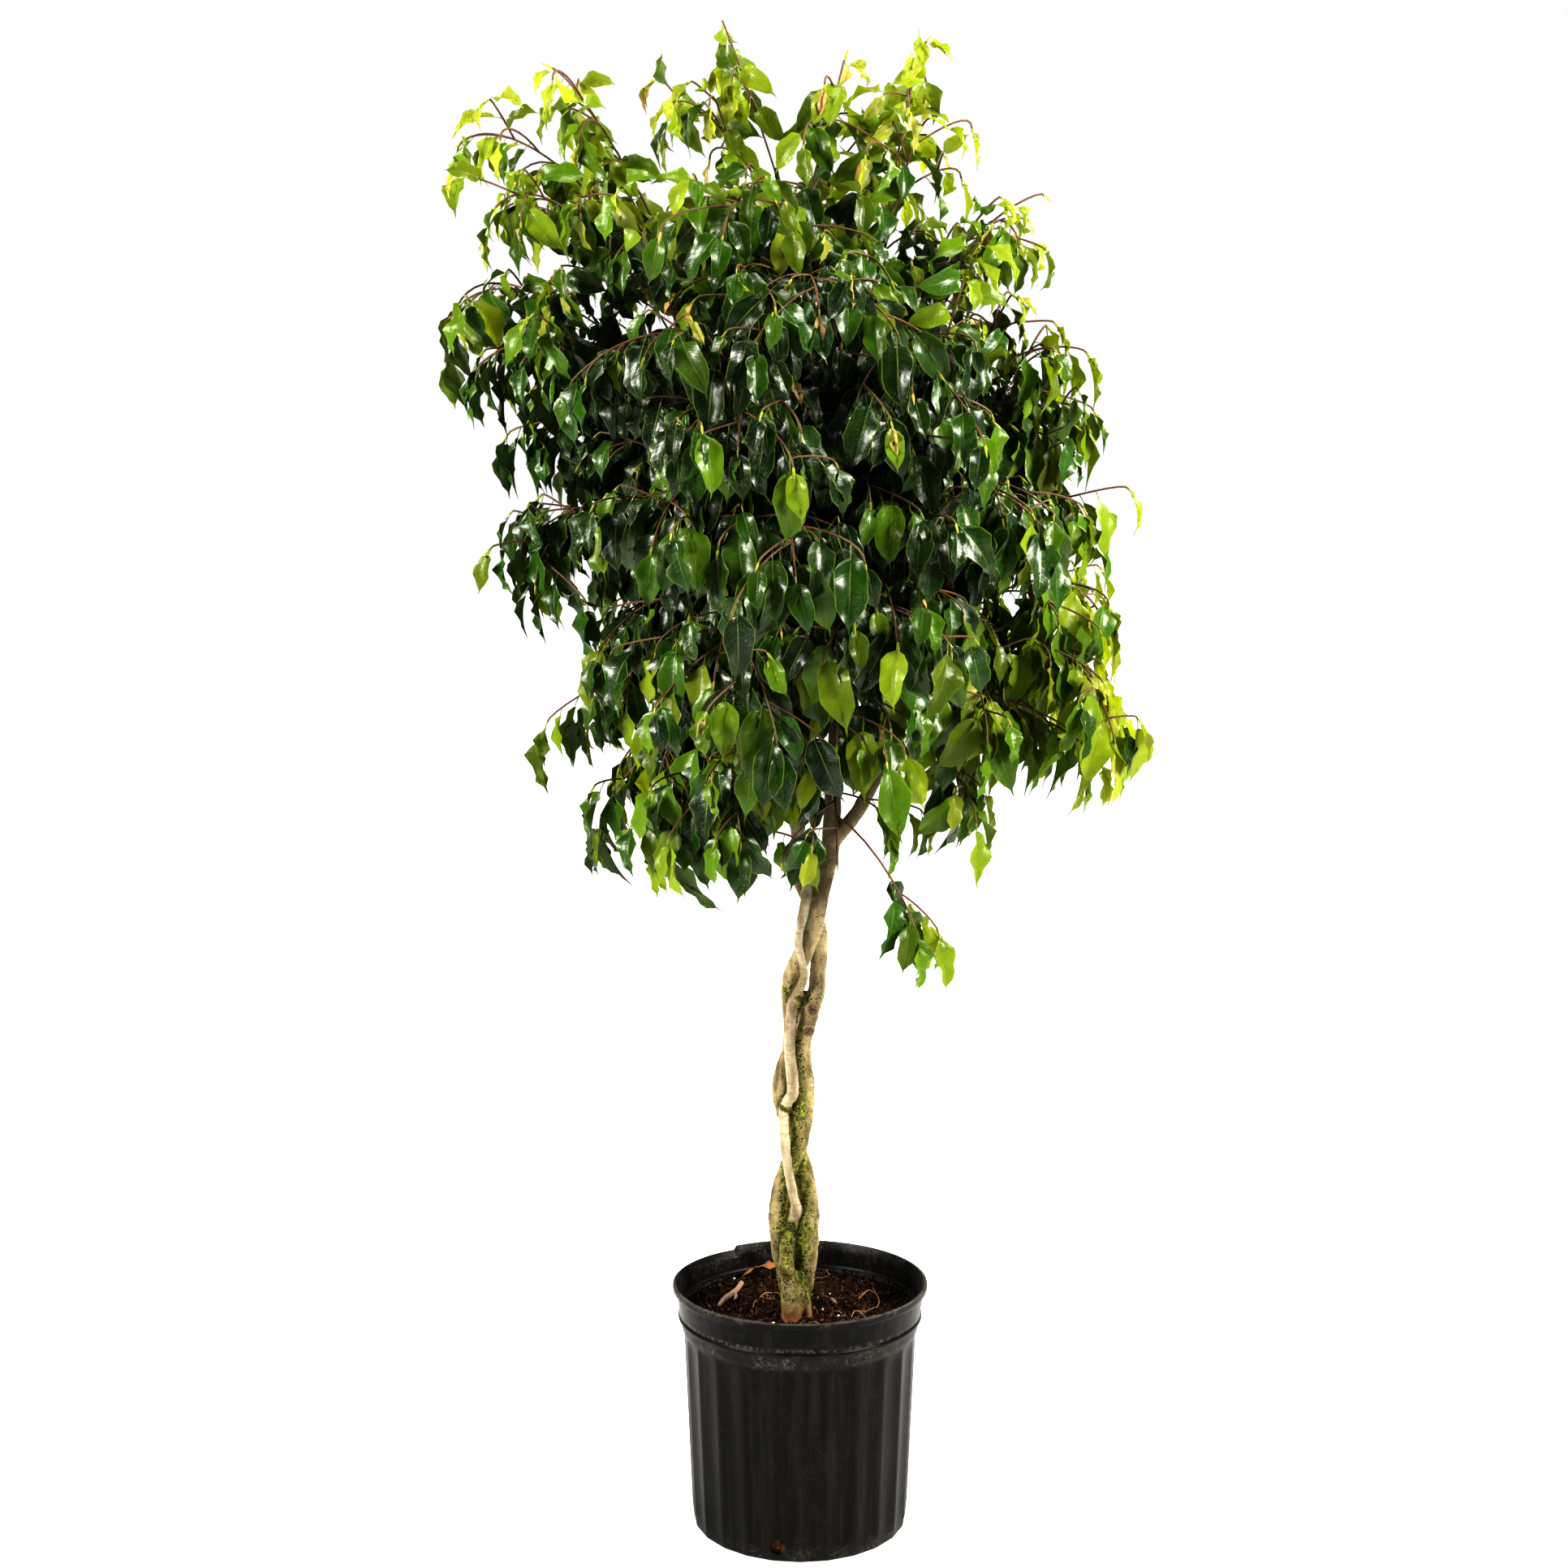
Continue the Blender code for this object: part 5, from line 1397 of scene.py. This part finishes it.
def bark_marks(mesh):
    """Store where the bark is mossy, pale and earthy, and where it gets painted shade in creases and
    hollows.
    """
    places = np.empty(len(mesh.vertices) * 3)
    mesh.vertices.foreach_get("co", places)
    places = places.reshape(-1, 3) / MM
    reach = stem_distances(places)
    order = np.sort(reach, axis=0)
    height = places[:, 2]
    front = units(1.0 - (reach[0] - order[0]) / 1.5) * units((2.2 - reach[0]) / 1.2)
    # Painted shade: strongest where two stems meet, and in the hollows of the wood grown between them.
    painted_crease_shade = units(1.0 - (order[1] - order[0]) / 4.6) ** 1.2
    painted_hollow_shade = np.clip((order[0] - 1.6) / 3.0, 0.0, 0.8) * units((height - PAINTED_SHADE_FOOT) / 10)
    painted_crease_shade = np.maximum(painted_crease_shade * np.where(height > PAINTED_SHADE_FOOT, 1.0, 0.35), painted_hollow_shade)
    painted_crease_shade *= units((PAINTED_SHADE_TOP - height) / 60)
    low = units((MOSS_TOP - height) / 300)
    graft = np.zeros(len(places))
    for middle in STRAND_GRAFTS:
        graft = np.maximum(graft, np.exp(-((height - middle) / 12.0) ** 2) * (places[:, 1] < -8))
    middle = np.interp(height, *TRUNK_MIDDLE)
    flank = units((np.abs(places[:, 0] - middle) - 9.0) / 10.0)
    moss = low * (0.38 + 0.50 * units((THICK_MOSS_TOP - height) / 120))
    moss += 0.45 * units(1.0 - order[1] / 10.0) * low
    moss += 0.5 * graft
    moss *= 1.0 - flank * np.where(height > 262, 0.68, 0.45)
    moss *= np.where((reach[0] <= order[0]) & (height < 300), 0.62, 1.0)
    pale = front * units((height - PALE_FOOT) / 8) * units((PALE_TOP - height) / 60)
    float_attribute(mesh, "moss", units(moss * (1.0 - 0.85 * pale)))
    float_attribute(mesh, "painted_crease_shade", painted_crease_shade)
    float_attribute(mesh, "pale", units(pale + 0.25 * units((height - THICK_MOSS_TOP) / 150)))
    float_attribute(mesh, "foot", units((EARTH_TOP - height) / 14) * 0.9)
    float_attribute(mesh, "upper", units((height - BROWN_FOOT) / 160))


def graft_rows():
    """The wood that has grown together between the right and left stems, as (x, y, z, radius)."""
    rows = []
    for height in range(GRAFT_FOOT, GRAFT_TOP, GRAFT_STEP):
        right, right_radius = leader_station("inner", height)
        left, left_radius = leader_station("centre", height)
        between = right.lerp(left, right_radius / (right_radius + left_radius)) / MM
        gap = (right - left).length / MM - right_radius - left_radius
        radius = min(max(gap / 2 + GRAFT_LAP, GRAFT_THINNEST), GRAFT_THICKEST)
        rows.append((between.x, between.y + GRAFT_BACK, height, radius))
    return rows


def dipped_strand():
    """The pale front strand, sunk into the other stems where it has grafted to them."""
    rows = smooth_rows(STEM_FRONT, STEM_STEP)
    for height in STRAND_GRAFTS:
        rows[:, 1] += STRAND_DIP * np.exp(-((rows[:, 2] - height) / STRAND_DIP_REACH) ** 2)
    rows[:, 3] *= np.interp(rows[:, 2], STRAND_SLIM_HEIGHTS, (1.0, STRAND_SLIM))
    return rows


def add_swelling(shape, place, radius, stretch):
    """Add a swelling, an egg stretched along Z."""
    made = bmesh.ops.create_icosphere(shape, subdivisions=3, radius=radius * MM)
    bmesh.ops.scale(shape, vec=(1.0, 1.0, stretch), verts=made["verts"])
    bmesh.ops.translate(shape, vec=Vector(place) * MM, verts=made["verts"])


def roughen_bark(mesh):
    """Push the grown trunk's skin in and out: lumps, wrinkles and cracked creases."""
    moved = []
    for vertex in mesh.vertices:
        spot = vertex.co / MM
        push = 0.75 * noise.fractal(Vector((spot.x, spot.y, spot.z * 0.7)) / 9.0, 1.0, 2.0, 3)
        push += 0.30 * noise.noise(Vector((spot.x, spot.y, spot.z * 2.2)) / 3.4)
        crack = abs(noise.noise(Vector((spot.x * 1.6, spot.y * 1.6, spot.z * 0.5)) / 7.0))
        push -= 0.9 * max(0.0, 1.0 - crack / 0.07) * unit((620 - spot.z) / 100)
        fade = min(1.0, max(0.35, (900 - spot.z) / 300))
        moved.append(vertex.co + vertex.normal * push * fade * MM)
    for vertex, place in zip(mesh.vertices, moved):
        vertex.co = place


def build_trunk():
    """The braided stems, grown together low down, with their leaders."""
    shape = bmesh.new()
    for order, (name, line) in enumerate(stem_lines().items()):
        bark_tube(shape, line, STEM_SIDES, 3.7 * order)
        for number, limb in enumerate(STEMS[name][1]):
            line = smooth_rows(limb, STEM_STEP)
            bark_tube(shape, line, LIMB_SIDES, 5.1 + order + number, LIMB_FLARE)
    bark_tube(shape, smooth_rows(graft_rows(), STEM_STEP), LIMB_SIDES, 21.0)
    bark_tube(shape, smooth_rows(SIDE_ROOT, STEM_STEP), LIMB_SIDES, 22.0)
    for x, y, z, radius in GRAFT_KNOTS:
        add_swelling(shape, (x, y, z), radius, KNOT_STRETCH)
    add_swelling(shape, FOOT_NUB[:3], FOOT_NUB[3], NUB_STRETCH)
    rough = link(mesh_object("rough_trunk", shape))
    grow = rough.modifiers.new("Grown together", "REMESH")
    grow.mode = "VOXEL"
    grow.voxel_size = TRUNK_VOXEL
    soften = rough.modifiers.new("Softened creases", "SMOOTH")
    soften.iterations = 3
    soften.factor = 0.5
    trunk = evaluated_copy(rough, "braided_trunk")
    bark_marks(trunk.data)
    roughen_bark(trunk.data)
    trunk.data.shade_smooth()
    settle_piece(trunk, "bark", *STEMS, finish=bark_finish())


def build_scars():
    """Scars of cut-off shoots: a raised collar round a dark dished face."""
    shape = bmesh.new()
    for place, facing, radius in CUT_SCARS:
        out = Vector(facing).normalized()
        across = out.cross(UP).normalized()
        upward = across.cross(out)
        rings = []
        for share, lift in SCAR_RINGS:
            ring = []
            for turn in turns(SCAR_SIDES):
                wobble = 1.0 + 0.10 * math.sin(3 * turn + radius)
                offset = (across * math.cos(turn) * 0.85 + upward * math.sin(turn)) * radius * share * wobble
                ring.append(shape.verts.new((Vector(place) + offset + out * lift) * MM))
            rings.append(ring)
        skin(shape, rings)
        shape.faces.new(rings[0][::-1])
        shape.faces.new(rings[-1])
    scars = link(mesh_object("cut_scars", shape))
    centres = [Vector(place) * MM for place, _, _ in CUT_SCARS]
    inward = []
    for vertex in scars.data.vertices:
        nearest = min((vertex.co - centre).length for centre in centres)
        inward.append(unit(1.0 - nearest / SCAR_FACE))
    float_attribute(scars.data, "inward", inward)
    settle_piece(scars, "bark", finish=scar_finish())


def rounded_profile(corners, radius, segments):
    """A section given in millimetres, with each inner corner rounded; the result is in metres."""
    points = [Vector(corner) * MM for corner in corners]
    smooth = [points[0]]
    for before, corner, after in zip(points, points[1:], points[2:]):
        reach = min(radius, (corner - before).length * 0.45, (after - corner).length * 0.45)
        first = corner + (before - corner).normalized() * reach
        last = corner + (after - corner).normalized() * reach
        for step in range(segments + 1):
            t = step / segments
            smooth.append(first * (1 - t) ** 2 + corner * 2 * t * (1 - t) + last * t ** 2)
    smooth.append(points[-1])
    return smooth


def subdivided(points, longest):
    """A profile with its long straight runs cut into shorter ones."""
    fine = [points[0]]
    for first, second in zip(points, points[1:]):
        count = max(1, math.ceil((second - first).length / longest))
        fine += [first.lerp(second, step / count) for step in range(1, count + 1)]
    return fine


def can_spot(radius, height, turn):
    """Where a point of the can's section lies once fluted, notched and slightly out of round."""
    fade = unit((FLUTE_TOP + MM - height) / FLUTE_FADE)
    press = 0.5 - 0.5 * math.cos(FLUTES * turn)
    if height < FLUTE_FOOT:
        fade = 0.35 + 0.65 * height / FLUTE_FOOT
    if radius > BASE_RADIUS + 2 * MM:
        radius -= FLUTE_DEPTH * fade * press ** 0.5
        radius += CAN_WARP * math.sin(3 * turn + 0.7) * height / POT_HEIGHT
    past = (turn - LIP_STEP_TURN) % math.tau
    if height > POT_HEIGHT - LIP_DEPTH and past < LIP_STEP_REACH:
        share = min(1.0, 2.0 * (height - POT_HEIGHT + LIP_DEPTH) / LIP_DEPTH)
        height -= LIP_STEP_DROP * (1.0 - past / LIP_STEP_REACH) * share
    return spot_round(radius, turn, height)


def drain_hole(number):
    """The cutter of one drain hole."""
    angle = DRAIN_TURN + number * math.tau / DRAIN_HOLES
    shape = bmesh.new()
    bmesh.ops.create_cone(shape, cap_ends=True, segments=DRAIN_SIDES, radius1=DRAIN_RADIUS,
                          radius2=DRAIN_RADIUS, depth=DRAIN_CUT)
    radius, height = DRAIN_PLACE
    centre = spot_round(radius, angle, height)
    turn = Matrix.Rotation(angle, 4, "Z") @ Matrix.Rotation(math.pi / 2, 4, "Y")
    bmesh.ops.transform(shape, matrix=Matrix.Translation(centre) @ turn, verts=shape.verts)
    return mesh_object(f"drain_hole_{number + 1}", shape)


def build_can():
    """The nursery can with its flutes, stepped lip and drain holes."""
    shape = bmesh.new()
    profile = subdivided(rounded_profile(CAN_OUTSIDE, CAN_ROUND, 3), CAN_OUTSIDE_STEP)
    profile += subdivided(rounded_profile(CAN_INSIDE, CAN_ROUND, 2), CAN_INSIDE_STEP)[:-1]
    columns = []
    for turn in turns(CAN_COLUMNS):
        columns.append([shape.verts.new(can_spot(radius, height, turn)) for radius, height in profile])
    skin(shape, columns + columns[:1])
    bmesh.ops.remove_doubles(shape, verts=shape.verts, dist=0.02 * MM)
    can = link(mesh_object("fluted_can", shape, smooth=False))
    holes = bpy.data.collections.new("drain_holes")
    for number in range(DRAIN_HOLES):
        holes.objects.link(drain_hole(number))
    cut = can.modifiers.new("Drain holes", "BOOLEAN")
    cut.operand_type = "COLLECTION"
    cut.collection = holes
    cut.solver = "EXACT"
    can = evaluated_copy(can, "fluted_can")
    can.data.shade_smooth()
    can.data.set_sharp_from_angle(angle=CAN_SHARP)
    drop_collection(holes)
    settle_piece(can, "can", "pot", finish=can_finish())


def soil_height(x, y):
    """Height of the potting mix: heaped round the stems and crumbly."""
    radius = math.hypot(x, y)
    spot = Vector((x, y, 0.0))
    heap = SOIL_HEAP * math.exp(-(radius / SOIL_HEAP_REACH) ** 2)
    heap += 2.0 * MM * noise.noise(spot * 26.0 + Vector((3, 1, 0)))
    crumbs = 3.2 * MM * noise.fractal(spot * 95.0, 0.8, 2.0, 3) + 1.3 * MM * noise.noise(spot * 330.0)
    edge = unit((SOIL_RADIUS - radius) / SOIL_EDGE)
    return SOIL_TOP - MM + (heap + crumbs) * (0.35 + 0.65 * edge)


def soil_surface(shape):
    """The crumbly top of the potting mix; gives its rim back."""
    middle = shape.verts.new((0.0, 0.0, soil_height(0.0, 0.0)))
    rings = []
    for number in range(1, SOIL_RINGS + 1):
        radius = SOIL_RADIUS * number / SOIL_RINGS
        spots = [(radius * math.cos(turn), radius * math.sin(turn)) for turn in turns(SOIL_COLUMNS)]
        rings.append([shape.verts.new((x, y, soil_height(x, y))) for x, y in spots])
    fan(shape, rings[0], middle)
    skin(shape, rings)
    return rings[-1]


def build_soil():
    """The potting mix down to the can's floor."""
    shape = bmesh.new()
    rings = [soil_surface(shape)]
    for radius, height in subdivided([Vector(side) * MM for side in SOIL_SIDES], 6 * MM):
        ring = []
        for turn in turns(SOIL_COLUMNS):
            out = spot_round(1.0, turn)
            spot = out * radius + UP * height
            ring.append(shape.verts.new(spot + out * 1.2 * MM * noise.noise(spot * 240.0)))
        rings.append(ring)
    skin(shape, rings)
    shape.faces.new(rings[-1][::-1])
    settle_piece(link(mesh_object("potting_mix", shape)), "soil", "soil", finish=soil_finish())


def crumb_source(name, stretch, uneven, seed):
    """One irregular bit of unit size."""
    shape = bmesh.new()
    bmesh.ops.create_icosphere(shape, subdivisions=1, radius=0.5)
    draw = random.Random(seed)
    for vertex in shape.verts:
        vertex.co = Vector(vertex.co) * Vector(stretch) * (1.0 + draw.uniform(-uneven, uneven))
    return mesh_object(name, shape, smooth=False)


def build_crumbs():
    """Crumbs, bark fines and perlite lying on the potting mix."""
    tree = scatter_tree()
    for finish_name, name, stretches, uneven, density, smallest, largest, dark, light, seed in CRUMBS:
        sources = bpy.data.collections.new(f"{name}_sources")
        for number, stretch in enumerate(stretches):
            bit = crumb_source(f"{name}_{number}", stretch, uneven, SOIL_SEED + seed + number)
            sources.objects.link(bit)
        ground = bmesh.new()
        soil_surface(ground)
        host = link(mesh_object(f"{name}_ground", ground))
        use_tree(host, tree, {"Bits": sources, "Density": float(density), "Smallest": smallest * MM,
                              "Largest": largest * MM, "Seed": seed,
                              "Finish": crumb_finish(finish_name, dark, light)})
        piece = evaluated_copy(host, name)
        drop_collection(sources)
        settle_piece(piece, "soil")


def tube_mesh(shape, points, radii, sides):
    """Add a closed round tube, its points and radii in metres."""
    rings = []
    for (point, across, other), radius in zip(frames(points, Vector((0.3, 0.8, 0.5))), radii):
        outs = [across * math.cos(turn) + other * math.sin(turn) for turn in turns(sides)]
        rings.append([shape.verts.new(point + out * radius) for out in outs])
    skin(shape, rings)
    shape.faces.new(rings[0][::-1])
    shape.faces.new(rings[-1])


def loose_root(draw):
    """Points of a thin root that wanders over the potting mix."""
    turn = draw.uniform(0, math.tau)
    radius = ROOT_SPREAD * math.sqrt(draw.uniform(0.10, 0.95))
    spot = spot_round(radius, turn)
    heading = draw.uniform(0, math.tau)
    bend = draw.uniform(-0.5, 0.5)
    points = []
    for step in range(draw.randrange(7, 16)):
        if spot.length > SOIL_RADIUS - 5 * MM:
            break
        lift = ROOT_LIFT + ROOT_WAVE * math.sin(step * 0.9 + turn)
        points.append(Vector((spot.x, spot.y, soil_height(spot.x, spot.y) + lift)))
        heading += bend + draw.uniform(-0.35, 0.35)
        spot += spot_round(1.0, heading) * ROOT_STEP * MM
    return points


def build_roots():
    """Thin pale roots on the potting mix: many loose ones, and those seen in the photograph."""
    draw = random.Random(SOIL_SEED)
    shape = bmesh.new()
    for _ in range(LOOSE_ROOTS):
        points = loose_root(draw)
        if len(points) > 4:
            thick = draw.uniform(0.25, 0.55) * MM
            radii = [thick * (1.0 - 0.5 * number / len(points)) for number in range(len(points))]
            tube_mesh(shape, points, radii, 5)
    for route in ROOT_ROUTES:
        rows = []
        for number, (x, y) in enumerate(route):
            height = soil_height(x * MM, y * MM) / MM + 2.0 + 0.9 * math.sin(1.9 * number)
            rows.append((x, y, height, ROOT_THICKNESS * (1.0 - 0.4 * number / len(route))))
        line = smooth_rows(rows, 1.8)
        tube_mesh(shape, [Vector(row[:3]) * MM for row in line], [row[3] * MM for row in line], 6)
    roots = link(mesh_object("surface_roots", shape))
    float_attribute(roots.data, "tone", [0.5] * len(roots.data.vertices))
    finish = crumb_finish("thin_root", (0.180, 0.090, 0.045), (0.480, 0.290, 0.160))
    settle_piece(roots, "soil", finish=finish)


def build_litter():
    """A seed, a chip of bark and a few white bits on the potting mix."""
    shape = bmesh.new()
    tone = shape.verts.layers.float.new("tone")
    for (x, y), size, turn, shade in LITTER:
        made = bmesh.ops.create_icosphere(shape, subdivisions=2, radius=MM)
        place = Matrix.Translation((x * MM, y * MM, soil_height(x * MM, y * MM) + LITTER_LIFT))
        place = place @ Matrix.Rotation(turn, 4, "Z") @ Matrix.Diagonal((*size, 1.0))
        bmesh.ops.transform(shape, matrix=place, verts=made["verts"])
        for vertex in made["verts"]:
            vertex[tone] = shade
    finish = crumb_finish("litter", (0.190, 0.080, 0.040), (0.860, 0.760, 0.600))
    settle_piece(link(mesh_object("soil_litter", shape)), "soil", finish=finish)


def build_fallen_bits():
    """The dry leaf and the forked bit of twig on the potting mix."""
    leaf = mesh_object("dry_leaf", leaf_shape(FALLEN_LEAF_VARIANT))
    place = Matrix.Translation(FALLEN_LEAF_PLACE) @ Matrix.Rotation(FALLEN_LEAF_TURN, 4, "Z")
    leaf.data.transform(place @ Matrix.Scale(FALLEN_LEAF_LENGTH, 4))
    lowest = min(vertex.co.z for vertex in leaf.data.vertices)
    leaf.data.transform(Matrix.Translation((0.0, 0.0, SOIL_TOP + FALLEN_LEAF_LIFT - lowest)))
    settle_piece(link(leaf), "dry_leaf", "fallen_leaf", finish=dry_leaf_finish())
    shape = bmesh.new()
    for rows in (FALLEN_TWIG, FALLEN_TWIG_FORK):
        line = [(x, y, SOIL_TOP / MM + FALLEN_TWIG_LIFT + radius, radius) for x, y, radius in rows]
        bark_tube(shape, smooth_rows(line, 1.5), FALLEN_TWIG_SIDES, 9.0)
    settle_piece(link(mesh_object("dry_twig", shape)), "dry_twig", "fallen_twig", finish=dry_twig_finish())


def light_sky():
    """A surround that is seen as white and gives more light from behind than from the front."""
    world = bpy.data.worlds.new("studio")
    world.use_nodes = True
    tree = world.node_tree
    white = tree.nodes["Background"]
    feed(tree, white.inputs["Color"], WHITE)
    place = add_node(tree, "ShaderNodeTexCoord")["Generated"]
    depth = add_node(tree, "ShaderNodeSeparateXYZ", {"Vector": place})["Y"]
    span = {"Value": depth, "From Min": -0.2, "From Max": 0.8, "To Min": 0.01, "To Max": 0.08}
    behind = add_node(tree, "ShaderNodeMapRange", span)["Result"]
    lamp = add_node(tree, "ShaderNodeBackground", {"Color": WHITE, "Strength": behind})[0]
    seen = add_node(tree, "ShaderNodeLightPath")["Is Camera Ray"]
    both = add_node(tree, "ShaderNodeMixShader", {0: seen, 1: lamp, 2: white.outputs[0]})[0]
    feed(tree, tree.nodes["World Output"].inputs["Surface"], both)
    bpy.context.scene.world = world


def build_room():
    """Pale floor and soft studio light."""
    bpy.ops.mesh.primitive_plane_add(size=FLOOR_SIDE)
    floor = bpy.context.active_object
    floor.name = "studio_floor"
    floor.data.materials.append(floor_finish())
    light_sky()
    bpy.context.scene.view_settings.view_transform = "Standard"
    bpy.context.scene.view_settings.gamma = PICTURE_GAMMA
    for name, spot, power in LAMPS:
        lamp = bpy.data.lights.new(name, "AREA")
        lamp.energy = power
        lamp.color = WARM_LIGHT
        lamp.size = LAMP_SIDE
        item = link(bpy.data.objects.new(name, lamp))
        item.location = spot
        item.rotation_mode = "QUATERNION"
        item.rotation_quaternion = (LAMP_AIM - Vector(spot)).to_track_quat("-Z", "Y")


def build_camera():
    """The camera at the photograph's angle."""
    camera = bpy.data.cameras.new("camera")
    camera.lens = CAMERA_LENS
    camera.sensor_width = 36.0
    item = link(bpy.data.objects.new("camera", camera))
    item.location = CAMERA_PLACE
    item.rotation_euler = (math.pi / 2 - CAMERA_PITCH, 0.0, 0.0)
    bpy.context.scene.camera = item


build_can()
build_soil()
build_crumbs()
build_roots()
build_litter()
build_trunk()
build_scars()
build_foliage()
build_fallen_bits()
build_room()
build_camera()
